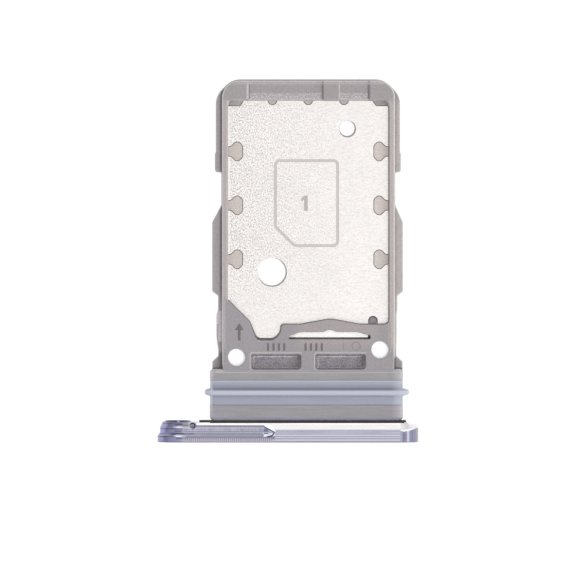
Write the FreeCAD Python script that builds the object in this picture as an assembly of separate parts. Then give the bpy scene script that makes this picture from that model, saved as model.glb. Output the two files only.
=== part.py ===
import FreeCAD, Part
import math
import os

Vector = FreeCAD.Vector

# Tray for two nano cards, one on each face, pushed into a phone's side.
# Millimetres. The origin is the middle of the cap's front face.
# X runs along the cap, Y is the way the tray is pushed in, and Z is up.

# Card, and the play it has in its pocket
CARD_WIDTH = 8.80
CARD_LENGTH = 12.30
CARD_THICKNESS = 0.67
CARD_SIDE_PLAY = 0.05
CARD_END_PLAY = 0.04
CARD_HEIGHT_PLAY = 0.03
CARD_CORNER_CUT = 1.35
POCKET_CORNER_RADIUS = 0.26
POCKET_FAR_RADIUS = 0.36
POCKET_DRAFT = 0.06
TRAY_CENTRE = 1.13

# Steel floor plate
PLATE_THICKNESS = 0.15
PLATE_SIDE_EMBED = 0.20
PLATE_FAR_EMBED = 0.45
PLATE_NEAR_EMBED = 0.40
PLATE_APRON_EMBED = 0.10
PLATE_TONGUE_WIDTH = 4.60
PLATE_TONGUE_EMBED = 0.90
LARGE_HOLE_DIAMETER = 1.58
LARGE_HOLE_FROM_LEFT = 2.44
LARGE_HOLE_FROM_NEAR = 2.86
SMALL_HOLE_DIAMETER = 0.89
SMALL_HOLE_FROM_RIGHT = 2.27
SMALL_HOLE_FROM_FAR = 1.55
HOLE_EDGE_ROLL = 0.04

# Card outline pressed into the plate
SIGN_WIDTH = 3.46
SIGN_LENGTH = 4.73
SIGN_FROM_LEFT = 2.62
SIGN_FROM_NEAR = 4.33
SIGN_CORNER_CUT = 1.06
SIGN_CORNER_RADIUS = 0.25
SIGN_LINE_WIDTH = 0.15
SIGN_LINE_DEPTH = 0.02

# Plastic pads that fill notches in the plate's edge
PAD_COUNT = 3
PAD_PITCH = 3.00
PAD_FROM_NEAR = 3.57
PAD_REACH = 0.80
PAD_NECK_WIDTH = 0.54
PAD_NECK_LENGTH = 0.15
PAD_FLARE_LENGTH = 0.25
PAD_HEAD_WIDTH = 1.05
PAD_TIP_CUT = 0.20
PAD_RADIUS = 0.25
END_PAD_PITCH = 1.99
END_PAD_WIDTH = 0.50
END_PAD_REACH = 0.21
CORNER_PAD_END = 0.67
CORNER_PAD_END_LEAN = 0.34
CORNER_PAD_REACH = 0.27
CORNER_PAD_RADIUS = 0.12
CORNER_PAD_EMBED = 0.10
KEY_PAD_FROM_RIGHT = 0.85
KEY_PAD_WIDTH = 0.53
KEY_PAD_REACH = 0.42
KEY_PAD_SINK = 0.07

# Frame round the pockets
WALL_LEFT = 0.34
WALL_RIGHT = 0.37
FAR_BAR = 1.11
NEAR_BAR = 2.58
FRAME_CORNER_RADIUS = 0.94
FRAME_EDGE_BEVEL = 0.08
FRAME_WAIST_TAPER = 0.04
FRAME_WAIST_LENGTH = 1.40
CHANNEL_DEPTH = 0.15
CHANNEL_DRAFT = 0.08
WIDE_CHANNEL_LENGTH = 4.08
WIDE_CHANNEL_FROM_LEFT = 1.50
NARROW_CHANNEL_LENGTH = 1.58
NARROW_CHANNEL_FROM_RIGHT = 1.46

# Finger relief and spring leaf at the near end of each pocket
RELIEF_FROM_LEFT = 2.21
RELIEF_MOUTH_LEFT = 1.00
RELIEF_FLOOR_LEFT = 0.60
RELIEF_RIGHT = 0.67
RELIEF_DEPTH = 0.806
RELIEF_LEAN = 0.09
RELIEF_LEFT_RADIUS = 0.36
RELIEF_RIGHT_SWEEP = 0.34
RELIEF_RIGHT_RADIUS = 0.50
LEAF_POST = 0.49
LEAF_ROOT = 1.01
LEAF_ROOT_DEPTH = 0.67
LEAF_DEPTH = 0.47
LEAF_TAPER_LENGTH = 0.70
LEAF_CROWN_FROM_LEFT = 5.66
LEAF_CROWN_RISE = 0.30
LEAF_CROWN_REACH = 1.65
LEAF_NOTCH_RISE = 0.155
LEAF_NOTCH_REACH = 0.36
LEAF_FLOOR_GAP = 0.05
SLOT_FROM_NEAR = 0.77
SLOT_CORNER_RADIUS = 0.07
SLOT_DRAFT = 0.02
SLOT_LEAN = 0.08

# Holes and recesses in the near bar
BAR_HOLE_DIAMETER = 0.94
LEFT_HOLE_FROM_SIDE = 0.80
LEFT_HOLE_FROM_NECK = 0.71
RIGHT_HOLE_FROM_SIDE = 0.85
RIGHT_HOLE_FROM_NECK = 1.13
RECESS_LENGTH = 2.82
RECESS_WIDTH = 0.88
RECESS_DEPTH = 0.45
RECESS_RIB = 0.76
RECESS_FROM_NECK = 0.03
RECESS_CORNER_RADIUS = 0.14
RECESS_DRAFT = 0.03
RECESS_FOOT = 0.09
RECESS_RIM = 0.04

# Guide rails: how far they stand out from the frame's side, and where they change along it
RAIL_THICKNESS = 0.80
RAIL_EDGE_BEVEL = 0.06
RAIL_CORNER_CUT = 0.91
RAIL_CORNER_RADIUS = 1.10
RAIL_FAR_LIP = 0.08
RAIL_TIP_LEFT = 0.345
RAIL_TIP_RIGHT = 0.28
RAIL_CATCH_RISE = 0.05
RAIL_NOTCH_LEFT = 0.035
RAIL_NOTCH_RIGHT = 0.015
RAIL_MIDDLE_LEFT = 0.545
RAIL_MIDDLE_RIGHT = 0.44
RAIL_WAIST_LEFT = 0.22
RAIL_WAIST_RIGHT = 0.13
RAIL_SWELL_LEFT = 0.31
RAIL_SWELL_RIGHT = 0.09
RAIL_ANKLE_LEFT = 0.21
RAIL_ANKLE_RIGHT = 0.07
RAIL_FOOT_LEFT = 0.54
RAIL_FOOT_RIGHT = 0.42
RAIL_CATCH_LENGTH = 1.06
RAIL_TIP_LENGTH = 5.10
RAIL_NOTCH_LENGTH = 1.80
RAIL_RAMP_LENGTH = 0.97
RAIL_FOOT_LENGTH = 0.47
RAIL_FOOT_SLOPE = 0.31
RAIL_SWELL_FROM_NECK = 1.08
RAIL_SWELL_LENGTH = 2.28
RAIL_SWELL_NEAR_SLOPE = 0.75
RAIL_SWELL_FAR_SLOPE = 0.28
RAIL_SWELL_RADIUS = 0.40
RAIL_MIDDLE_FROM_NECK = 4.36
RAIL_MIDDLE_SLOPE = 0.24
RAIL_SMALL_RADIUS = 0.12

# Neck that carries the seal
NECK_LENGTH = 2.80
NECK_HEIGHT = 1.66
NECK_STEP_LEFT = 0.665
NECK_STEP_RIGHT = 0.435
NECK_EDGE_RADIUS = 0.28
NECK_END_BEVEL = 0.12
NECK_END_BEVEL_LENGTH = 0.14
NECK_BACK_LAP = 0.065

# Seal ring round the neck
SEAL_FROM_CAP_END = 0.85
SEAL_WIDTH = 1.39
SEAL_GROOVE_DEPTH = 0.22
SEAL_INSET = 0.01
SEAL_RIB_FROM_EDGE = 0.72
SEAL_RIB_HEIGHT = 0.28
SEAL_RIB_TIP_RADIUS = 0.12
SEAL_RIB_FOOT = 0.22
SEAL_RIB_FOOT_RADIUS = 0.05

# Bonding film between the neck and the cap
FILM_THICKNESS = 0.11
FILM_INSET = 0.06
FILM_OVERHANG_LEFT = 0.60
FILM_OVERHANG_RIGHT = 0.18
FILM_CORNER_RADIUS = 0.22

# Cap that closes the slot in the phone's side
CAP_LENGTH = 14.50
CAP_HEIGHT = 2.23
CAP_THICKNESS = 1.11
CAP_FRONT_ROUND = 0.07
CAP_BEVEL_DEPTH = 0.23
CAP_BEVEL_LENGTH = 0.40
CAP_BEVEL_END_LAG = 0.12
PIN_HOLE_DIAMETER = 1.22
PIN_HOLE_BEVEL = 0.04
STEP_DEPTH = 0.14
STEP_FROM_FRONT = 0.38
STEP_SLOPE = 0.16
STEP_LENGTH = 5.06
STEP_END_RADIUS = 0.35
STEP_END_FROM_FRONT = 0.65
BOSS_BEVEL_DEPTH = 0.13
BOSS_BEVEL_LENGTH = 0.28
BOSS_BEVEL_REACH = 0.90
BOSS_BEVEL_END_RADIUS = 0.17
BOSS_TIP_RISE = 0.095
BOSS_TIP_DIAMETER = 1.36

# Tang of the cap, held in the neck
TANG_WIDTH = 5.20
TANG_THICKNESS = 0.66
TANG_LENGTH = 1.50
TANG_PLAY = 0.03

# Room that a cutting shape runs past the face it opens
CUT_ROOM = 0.50
# Most of a straight run that one corner's arc may take
ARC_SHARE = 0.45
# Smallest radius that a shrunk corner keeps
LEAST_RADIUS = 0.01

# Heights, and places along the tray, worked out from the sizes above
POCKET_WIDTH = CARD_WIDTH + 2 * CARD_SIDE_PLAY
POCKET_LENGTH = CARD_LENGTH + 2 * CARD_END_PLAY
PLATE_TOP = PLATE_THICKNESS / 2
FRAME_TOP = PLATE_TOP + CARD_THICKNESS + CARD_HEIGHT_PLAY
RAIL_TOP = RAIL_THICKNESS / 2
NECK_TOP = NECK_HEIGHT / 2
CAP_TOP = CAP_HEIGHT / 2

NECK_FRONT = CAP_THICKNESS + FILM_THICKNESS
NECK_BACK = NECK_FRONT + NECK_LENGTH
POCKET_NEAR = NECK_BACK + NEAR_BAR
POCKET_FAR = POCKET_NEAR + POCKET_LENGTH
FRAME_FAR = POCKET_FAR + FAR_BAR
SEAL_NEAR = NECK_FRONT + SEAL_FROM_CAP_END
SEAL_FAR = SEAL_NEAR + SEAL_WIDTH
TANG_BACK = CAP_THICKNESS + TANG_LENGTH

POCKET_LEFT = TRAY_CENTRE - POCKET_WIDTH / 2
POCKET_RIGHT = TRAY_CENTRE + POCKET_WIDTH / 2
FRAME_LEFT = POCKET_LEFT - WALL_LEFT
FRAME_RIGHT = POCKET_RIGHT + WALL_RIGHT
NECK_LEFT = FRAME_LEFT - NECK_STEP_LEFT
NECK_RIGHT = FRAME_RIGHT + NECK_STEP_RIGHT
NECK_MIDDLE = (NECK_LEFT + NECK_RIGHT) / 2
CAP_END_CENTRE = CAP_LENGTH / 2 - CAP_TOP

RELIEF_MIDDLE = POCKET_LEFT + RELIEF_FROM_LEFT
RELIEF_SIDE = RELIEF_MIDDLE + RELIEF_RIGHT
RELIEF_FLOOR = POCKET_NEAR - RELIEF_DEPTH
LEAF_CROWN = POCKET_LEFT + LEAF_CROWN_FROM_LEFT
SLOT_LEFT = RELIEF_SIDE + LEAF_POST
SLOT_RIGHT = POCKET_RIGHT - LEAF_ROOT
SLOT_NEAR = POCKET_NEAR - SLOT_FROM_NEAR


# Outlines and solids

def corner_arc(before, corner, after):
    """Start, middle and end of the arc that rounds a corner and touches its two runs."""
    here = Vector(corner[0], corner[1], 0)
    if corner[2] == 0:
        return here, here, here
    back = Vector(before[0], before[1], 0) - here
    ahead = Vector(after[0], after[1], 0) - here
    room = ARC_SHARE * min(back.Length, ahead.Length)
    back.normalize()
    ahead.normalize()
    half_angle = back.getAngle(ahead) / 2
    reach = min(corner[2] / math.tan(half_angle), room)
    radius = reach * math.tan(half_angle)
    inward = back + ahead
    inward.normalize()
    middle = here + inward * (radius / math.sin(half_angle) - radius)
    return here + back * reach, middle, here + ahead * reach


def outline(corners, height=0):
    """Closed wire through corners of (x, y, radius), from the last corner's end, with arcs at its radii."""
    lift = Vector(0, 0, height)
    last = len(corners) - 1
    arcs = []
    for i, corner in enumerate(corners):
        after = corners[0] if i == last else corners[i + 1]
        arcs.append([point + lift for point in corner_arc(corners[i - 1], corner, after)])
    edges = []
    for i, corner in enumerate(corners):
        start, middle, end = arcs[i]
        edges.append(Part.LineSegment(arcs[i - 1][2], start).toShape())
        if corner[2] > 0:
            edges.append(Part.Arc(start, middle, end).toShape())
    return Part.Wire(edges)


def grown(corners, growth):
    """The outline's corners moved outwards by growth; the corners run anticlockwise."""
    last = len(corners) - 1
    result = []
    for i, (x, y, radius) in enumerate(corners):
        before = corners[i - 1]
        after = corners[0] if i == last else corners[i + 1]
        back = Vector(x - before[0], y - before[1], 0)
        ahead = Vector(after[0] - x, after[1] - y, 0)
        back.normalize()
        ahead.normalize()
        first = Vector(back.y, -back.x, 0)
        second = Vector(ahead.y, -ahead.x, 0)
        move = (first + second) * (growth / (1 + first.dot(second)))
        turns_left = back.cross(ahead).z > 0
        change = growth if turns_left else -growth
        new_radius = max(radius + change, LEAST_RADIUS) if radius > 0 else 0
        result.append((x + move.x, y + move.y, new_radius))
    return result


def lofted(corners, levels):
    """Solid through one outline at several heights; a level is (height, growth of the outline)."""
    wires = [outline(grown(corners, growth), height) for height, growth in levels]
    return Part.makeLoft(wires, True, True)


def prism(corners, low, high):
    """Straight solid between two heights."""
    face = Part.Face(outline(corners, low))
    return face.extrude(Vector(0, 0, high - low))


def bevelled(corners, half_height, bevel):
    """Slab about the middle plane, with its upper and lower edges bevelled."""
    side = half_height - bevel
    return lofted(corners, [(-half_height, -bevel), (-side, 0), (side, 0), (half_height, -bevel)])


def rectangle(left, right, near, far, radius=0):
    """Corners of a rectangle, anticlockwise."""
    return [(left, near, radius), (right, near, radius), (right, far, radius), (left, far, radius)]


def upright(shape):
    """Turns a solid drawn flat so that its height becomes Y; its outline is even about Z."""
    return shape.rotate(Vector(0, 0, 0), Vector(1, 0, 0), -90)


def round_bar(x, y, diameter, low, high):
    """Round bar along Z."""
    return Part.makeCylinder(diameter / 2, high - low, Vector(x, y, low))


def fused(shapes):
    """One solid from shapes that meet."""
    return shapes[0].multiFuse(shapes[1:]).removeSplitter()


# Steel plate

def pad_notch(side_x, inward, middle):
    """Keyhole notch from the plate's side edge: a narrow neck that flares into a round head."""
    neck_half = PAD_NECK_WIDTH / 2
    head_half = PAD_HEAD_WIDTH / 2
    steps = [
        (-PLATE_SIDE_EMBED - CUT_ROOM, neck_half, 0),
        (PAD_NECK_LENGTH, neck_half, PAD_RADIUS),
        (PAD_NECK_LENGTH + PAD_FLARE_LENGTH, head_half, PAD_RADIUS),
        (PAD_REACH - PAD_TIP_CUT, head_half, PAD_RADIUS),
        (PAD_REACH, head_half - PAD_TIP_CUT, PAD_RADIUS),
    ]
    near = [(side_x + inward * reach, middle - half, radius) for reach, half, radius in steps]
    far = [(side_x + inward * reach, middle + half, radius) for reach, half, radius in reversed(steps)]
    return prism(near + far, -PLATE_TOP - CUT_ROOM, PLATE_TOP + CUT_ROOM)


def end_notch(middle, width, wall, reach, inward):
    """Notch with a round end, from the plate's far or near edge into the pocket."""
    radius = width / 2
    round_y = wall + inward * (reach - radius)
    edge = wall - inward * (PLATE_FAR_EMBED + PLATE_NEAR_EMBED)
    low = -PLATE_TOP - CUT_ROOM
    high = PLATE_TOP + CUT_ROOM
    left = middle - radius
    right = middle + radius
    run = prism(rectangle(left, right, min(edge, round_y), max(edge, round_y)), low, high)
    return run.fuse(round_bar(middle, round_y, width, low, high))


def corner_notch(side_x, inward):
    """Notch in a far corner of the plate: it fills the corner and its end leans to the middle."""
    near = POCKET_FAR - CORNER_PAD_REACH
    far = POCKET_FAR + PLATE_FAR_EMBED / 2
    steps = [
        (-CORNER_PAD_EMBED, near),
        (CORNER_PAD_END, near),
        (CORNER_PAD_END + CORNER_PAD_END_LEAN, far),
        (-CORNER_PAD_EMBED, far),
    ]
    corners = [(side_x + inward * reach, y, CORNER_PAD_RADIUS) for reach, y in steps]
    return prism(corners, -PLATE_TOP - CUT_ROOM, PLATE_TOP + CUT_ROOM)


def plate_notches():
    """Every notch in the plate that the frame's plastic fills."""
    notches = []
    for side_x, inward in ((POCKET_LEFT, 1), (POCKET_RIGHT, -1)):
        for number in range(PAD_COUNT):
            notches.append(pad_notch(side_x, inward, POCKET_NEAR + PAD_FROM_NEAR + number * PAD_PITCH))
        notches.append(corner_notch(side_x, inward))
    for number in (-1, 0, 1):
        middle = TRAY_CENTRE + number * END_PAD_PITCH
        notches.append(end_notch(middle, END_PAD_WIDTH, POCKET_FAR, END_PAD_REACH, -1))
    key_x = POCKET_RIGHT - KEY_PAD_FROM_RIGHT
    notches.append(end_notch(key_x, KEY_PAD_WIDTH, POCKET_NEAR, KEY_PAD_REACH, 1))
    return notches


def plate_blank():
    """Plate with its notches and no holes: a wide floor, an apron under the near bar and a tongue."""
    left = POCKET_LEFT - PLATE_SIDE_EMBED
    right = POCKET_RIGHT + PLATE_SIDE_EMBED
    near = POCKET_NEAR - PLATE_NEAR_EMBED
    far = POCKET_FAR + PLATE_FAR_EMBED
    apron_left = RELIEF_MIDDLE - RELIEF_MOUTH_LEFT
    apron_right = SLOT_RIGHT + SLOT_CORNER_RADIUS
    apron_near = RELIEF_FLOOR - PLATE_APRON_EMBED
    tongue_left = NECK_MIDDLE - PLATE_TONGUE_WIDTH / 2
    tongue_right = NECK_MIDDLE + PLATE_TONGUE_WIDTH / 2
    tongue_end = NECK_BACK - PLATE_TONGUE_EMBED
    floor = rectangle(left, right, near, far, FRAME_CORNER_RADIUS / 2)
    apron = rectangle(apron_left, apron_right, apron_near, near + PLATE_FAR_EMBED, PLATE_SIDE_EMBED)
    tongue = rectangle(tongue_left, tongue_right, tongue_end, near, PLATE_SIDE_EMBED)
    blank = fused([prism(corners, -PLATE_TOP, PLATE_TOP) for corners in (floor, apron, tongue)])
    return blank.cut(plate_notches())


def sign_groove():
    """Groove of the card outline: the sheet between two copies of one five-sided outline."""
    left = POCKET_LEFT + SIGN_FROM_LEFT
    near = POCKET_NEAR + SIGN_FROM_NEAR
    right = left + SIGN_WIDTH
    far = near + SIGN_LENGTH
    cut = SIGN_CORNER_CUT
    radius = SIGN_CORNER_RADIUS
    corners = [
        (left + cut, near, radius),
        (right, near, radius),
        (right, far, radius),
        (left, far, radius),
        (left, near + cut, radius),
    ]
    outer = grown(corners, SIGN_LINE_WIDTH / 2)
    inner = grown(corners, -SIGN_LINE_WIDTH / 2)
    low = PLATE_TOP - SIGN_LINE_DEPTH
    return prism(outer, low, PLATE_TOP + CUT_ROOM).cut(prism(inner, low, PLATE_TOP + CUT_ROOM))


def punched_hole(x, y, diameter):
    """Cutter of a round hole through the plate, whose edges roll over on both faces."""
    radius = diameter / 2
    mouth = radius + HOLE_EDGE_ROLL
    roll_start = PLATE_TOP - HOLE_EDGE_ROLL
    upper = Part.makeCone(radius, mouth, HOLE_EDGE_ROLL, Vector(x, y, roll_start))
    lower = Part.makeCone(mouth, radius, HOLE_EDGE_ROLL, Vector(x, y, -PLATE_TOP))
    return fused([round_bar(x, y, diameter, -PLATE_TOP, PLATE_TOP), upper, lower])


def plate_holes():
    """The two round holes through the plate."""
    large_x = POCKET_LEFT + LARGE_HOLE_FROM_LEFT
    large_y = POCKET_NEAR + LARGE_HOLE_FROM_NEAR
    small_x = POCKET_RIGHT - SMALL_HOLE_FROM_RIGHT
    small_y = POCKET_FAR - SMALL_HOLE_FROM_FAR
    return [
        punched_hole(large_x, large_y, LARGE_HOLE_DIAMETER),
        punched_hole(small_x, small_y, SMALL_HOLE_DIAMETER),
    ]


def card_plate():
    """Stamped steel plate that is the floor of both pockets."""
    groove = sign_groove()
    lower_groove = groove.mirror(Vector(0, 0, 0), Vector(0, 0, 1))
    return plate_blank().cut(plate_holes() + [groove, lower_groove])


# Moulded frame

def frame_block(half_height):
    """The block round the pockets, with a slight waist where it meets the neck."""
    near = NECK_BACK - NECK_END_BEVEL - FRAME_EDGE_BEVEL
    waist_end = NECK_BACK + FRAME_WAIST_LENGTH
    corners = [
        (FRAME_LEFT + FRAME_WAIST_TAPER, near, 0),
        (FRAME_RIGHT - FRAME_WAIST_TAPER, near, 0),
        (FRAME_RIGHT, waist_end, 0),
        (FRAME_RIGHT, FRAME_FAR, FRAME_CORNER_RADIUS),
        (FRAME_LEFT, FRAME_FAR, FRAME_CORNER_RADIUS),
        (FRAME_LEFT, waist_end, 0),
    ]
    return bevelled(corners, half_height, FRAME_EDGE_BEVEL)


def rail_side(side_x, outward, foot, ankle, swell, waist, middle, notch, tip):
    """Outer edge of one rail, from the neck to the far end."""
    swell_near = NECK_BACK + RAIL_SWELL_FROM_NECK
    swell_far = swell_near + RAIL_SWELL_LENGTH
    middle_near = NECK_BACK + RAIL_MIDDLE_FROM_NECK
    notch_far = FRAME_FAR - RAIL_TIP_LENGTH
    notch_near = notch_far - RAIL_NOTCH_LENGTH
    far_end = FRAME_FAR + RAIL_FAR_LIP
    small = RAIL_SMALL_RADIUS
    steps = [
        (foot, NECK_BACK - NECK_END_BEVEL, 0),
        (foot, NECK_BACK + RAIL_FOOT_LENGTH, small),
        (ankle, NECK_BACK + RAIL_FOOT_LENGTH + RAIL_FOOT_SLOPE, small),
        (ankle, swell_near, RAIL_SWELL_RADIUS),
        (swell, swell_near + RAIL_SWELL_NEAR_SLOPE, RAIL_SWELL_RADIUS),
        (swell, swell_far - RAIL_SWELL_FAR_SLOPE, RAIL_SWELL_RADIUS),
        (waist, swell_far, RAIL_SWELL_RADIUS),
        (waist, middle_near - RAIL_MIDDLE_SLOPE, small),
        (middle, middle_near, small),
        (middle, notch_near - RAIL_RAMP_LENGTH, small),
        (notch, notch_near, small),
        (notch, notch_far, RAIL_CATCH_RISE),
        (tip + RAIL_CATCH_RISE, notch_far + RAIL_CATCH_RISE, small),
        (tip + RAIL_CATCH_RISE, notch_far + RAIL_CATCH_LENGTH, RAIL_CATCH_RISE),
        (tip, notch_far + RAIL_CATCH_LENGTH + RAIL_CATCH_RISE, RAIL_CATCH_RISE),
        (tip, far_end - RAIL_CORNER_CUT, RAIL_CORNER_RADIUS),
        (tip - RAIL_CORNER_CUT, far_end, RAIL_CORNER_RADIUS),
    ]
    return [(side_x + outward * out, y, radius) for out, y, radius in steps]


def rails():
    """Thin flange at mid height: both guide rails and the lip round the far end."""
    left = rail_side(
        FRAME_LEFT, -1, RAIL_FOOT_LEFT, RAIL_ANKLE_LEFT, RAIL_SWELL_LEFT,
        RAIL_WAIST_LEFT, RAIL_MIDDLE_LEFT, RAIL_NOTCH_LEFT, RAIL_TIP_LEFT,
    )
    right = rail_side(
        FRAME_RIGHT, 1, RAIL_FOOT_RIGHT, RAIL_ANKLE_RIGHT, RAIL_SWELL_RIGHT,
        RAIL_WAIST_RIGHT, RAIL_MIDDLE_RIGHT, RAIL_NOTCH_RIGHT, RAIL_TIP_RIGHT,
    )
    return bevelled(right + left[::-1], RAIL_TOP, RAIL_EDGE_BEVEL)


def neck_corners():
    """Section of the neck, flat on the drawing plane."""
    return rectangle(NECK_LEFT, NECK_RIGHT, -NECK_TOP, NECK_TOP, NECK_EDGE_RADIUS)


def neck():
    """Neck with bevelled ends and the groove for the seal."""
    corners = neck_corners()
    back = NECK_BACK + NECK_BACK_LAP
    levels = [
        (NECK_FRONT, -NECK_END_BEVEL),
        (NECK_FRONT + NECK_END_BEVEL_LENGTH, 0),
        (back - NECK_END_BEVEL_LENGTH, 0),
        (back, -NECK_END_BEVEL),
    ]
    around = prism(grown(corners, CUT_ROOM), SEAL_NEAR, SEAL_FAR)
    core = prism(grown(corners, -SEAL_GROOVE_DEPTH), SEAL_NEAR, SEAL_FAR)
    return upright(lofted(corners, levels).cut(around.cut(core)))


def pocket_corners():
    """Floor of a card pocket: cut corner, finger relief, crown of the spring leaf."""
    mouth_x = RELIEF_MIDDLE - RELIEF_MOUTH_LEFT
    mouth_y = POCKET_NEAR + CARD_CORNER_CUT - (mouth_x - POCKET_LEFT)
    return [
        (POCKET_LEFT, POCKET_NEAR + CARD_CORNER_CUT, LEAST_RADIUS),
        (mouth_x, mouth_y, POCKET_CORNER_RADIUS),
        (RELIEF_MIDDLE - RELIEF_FLOOR_LEFT, RELIEF_FLOOR, RELIEF_LEFT_RADIUS),
        (RELIEF_SIDE - RELIEF_RIGHT_SWEEP, RELIEF_FLOOR, RELIEF_RIGHT_RADIUS),
        (RELIEF_SIDE, RELIEF_FLOOR + RELIEF_RIGHT_SWEEP, RELIEF_RIGHT_RADIUS),
        (RELIEF_SIDE, POCKET_NEAR, POCKET_CORNER_RADIUS),
        (LEAF_CROWN - LEAF_CROWN_REACH, POCKET_NEAR, LEAF_CROWN_REACH),
        (LEAF_CROWN, POCKET_NEAR + LEAF_CROWN_RISE, LEAF_CROWN_REACH),
        (LEAF_CROWN + LEAF_CROWN_REACH, POCKET_NEAR, LEAF_CROWN_REACH),
        (POCKET_RIGHT, POCKET_NEAR, POCKET_CORNER_RADIUS),
        (POCKET_RIGHT, POCKET_FAR, POCKET_FAR_RADIUS),
        (POCKET_LEFT, POCKET_FAR, POCKET_FAR_RADIUS),
    ]


def slot_corners():
    """Slot behind the spring leaf, which frees the leaf to bend."""
    leaf_near = POCKET_NEAR - LEAF_DEPTH
    root_near = POCKET_NEAR - LEAF_ROOT_DEPTH
    return [
        (SLOT_LEFT, SLOT_NEAR, SLOT_CORNER_RADIUS),
        (SLOT_RIGHT, SLOT_NEAR, SLOT_CORNER_RADIUS),
        (SLOT_RIGHT, root_near, SLOT_CORNER_RADIUS),
        (SLOT_RIGHT - LEAF_TAPER_LENGTH, leaf_near, LEAF_TAPER_LENGTH),
        (LEAF_CROWN + LEAF_NOTCH_REACH, leaf_near, LEAF_NOTCH_REACH),
        (LEAF_CROWN, leaf_near + LEAF_NOTCH_RISE, LEAF_NOTCH_REACH),
        (LEAF_CROWN - LEAF_NOTCH_REACH, leaf_near, LEAF_NOTCH_REACH),
        (SLOT_LEFT + LEAF_TAPER_LENGTH, leaf_near, LEAF_TAPER_LENGTH),
        (SLOT_LEFT, root_near, SLOT_CORNER_RADIUS),
    ]


def leaned(corners, lean):
    """The outline's corners, with those of its nearest edge moved nearer by lean."""
    nearest = min(corner[1] for corner in corners)
    return [(x, y - lean if y == nearest else y, radius) for x, y, radius in corners]


def opened_upwards(corners, draft, lean):
    """Drafted cut from the plate's face upwards, with a leaning near wall and a bevelled rim."""
    rim = FRAME_TOP - FRAME_EDGE_BEVEL / 2
    top = FRAME_TOP + CUT_ROOM
    mouth = leaned(corners, lean)
    wires = [
        outline(corners, PLATE_TOP),
        outline(grown(mouth, draft), rim),
        outline(grown(mouth, draft + top - rim), top),
    ]
    return Part.makeLoft(wires, True, True)


def leaf_floor_gap():
    """Thin gap that keeps the spring leaf off the plate."""
    corners = rectangle(SLOT_LEFT, SLOT_RIGHT, SLOT_NEAR, POCKET_NEAR + LEAF_CROWN_RISE)
    return prism(corners, PLATE_TOP, PLATE_TOP + LEAF_FLOOR_GAP)


def channels():
    """Shallow channels across the far bar, for the contact springs; their floors end in a bevel."""
    low = FRAME_TOP - CHANNEL_DEPTH
    top = FRAME_TOP + CUT_ROOM
    levels = [(low - FRAME_EDGE_BEVEL, 0), (low, 0), (FRAME_TOP, CHANNEL_DRAFT), (top, CHANNEL_DRAFT)]
    near = POCKET_FAR - POCKET_DRAFT
    far = FRAME_FAR + CUT_ROOM
    wide_left = FRAME_LEFT + WIDE_CHANNEL_FROM_LEFT
    narrow_right = FRAME_RIGHT - NARROW_CHANNEL_FROM_RIGHT
    spans = [
        (wide_left, wide_left + WIDE_CHANNEL_LENGTH),
        (narrow_right - NARROW_CHANNEL_LENGTH, narrow_right),
    ]
    floor = frame_block(low)
    return [lofted(rectangle(left, right, near, far), levels).cut(floor) for left, right in spans]


def recesses():
    """The pair of recesses beside the neck, with drafted walls between a bevelled foot and rim."""
    near = NECK_BACK + RECESS_FROM_NECK
    low = FRAME_TOP - RECESS_DEPTH
    foot = low + RECESS_FOOT
    top = FRAME_TOP + CUT_ROOM
    levels = [
        (low, -RECESS_DRAFT - RECESS_FOOT),
        (foot, -RECESS_DRAFT),
        (FRAME_TOP - RECESS_RIM, 0),
        (FRAME_TOP, RECESS_RIM),
        (top, RECESS_RIM),
    ]
    result = []
    for left in (TRAY_CENTRE - RECESS_RIB / 2 - RECESS_LENGTH, TRAY_CENTRE + RECESS_RIB / 2):
        corners = rectangle(left, left + RECESS_LENGTH, near, near + RECESS_WIDTH, RECESS_CORNER_RADIUS)
        result.append(lofted(corners, levels))
    return result


def key_pad_sink():
    """Lowers the face of the round-ended pad at the near wall."""
    middle = POCKET_RIGHT - KEY_PAD_FROM_RIGHT
    half = KEY_PAD_WIDTH / 2
    corners = rectangle(middle - half, middle + half, POCKET_NEAR, POCKET_NEAR + KEY_PAD_REACH)
    return prism(corners, PLATE_TOP - KEY_PAD_SINK, PLATE_TOP)


def bar_holes():
    """The two round holes through the near bar."""
    low = -FRAME_TOP - CUT_ROOM
    high = FRAME_TOP + CUT_ROOM
    left_x = FRAME_LEFT + LEFT_HOLE_FROM_SIDE
    right_x = FRAME_RIGHT - RIGHT_HOLE_FROM_SIDE
    return [
        round_bar(left_x, NECK_BACK + LEFT_HOLE_FROM_NECK, BAR_HOLE_DIAMETER, low, high),
        round_bar(right_x, NECK_BACK + RIGHT_HOLE_FROM_NECK, BAR_HOLE_DIAMETER, low, high),
    ]


def tang_socket():
    """Socket in the neck for the cap's tang."""
    return upright(prism(tang_corners(TANG_PLAY), NECK_FRONT - CUT_ROOM, TANG_BACK + TANG_PLAY))


def tray_frame():
    """Plastic frame moulded round the plate, the same above and below it."""
    upper = [
        opened_upwards(pocket_corners(), POCKET_DRAFT, RELIEF_LEAN),
        opened_upwards(slot_corners(), SLOT_DRAFT, SLOT_LEAN),
        leaf_floor_gap(),
    ]
    upper += channels() + recesses()
    lower = [cut.mirror(Vector(0, 0, 0), Vector(0, 0, 1)) for cut in upper]
    body = fused([frame_block(FRAME_TOP), rails(), neck()])
    body = body.cut(upper + lower)
    return body.cut([plate_blank(), key_pad_sink(), tang_socket()] + bar_holes())


# Seal

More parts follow.
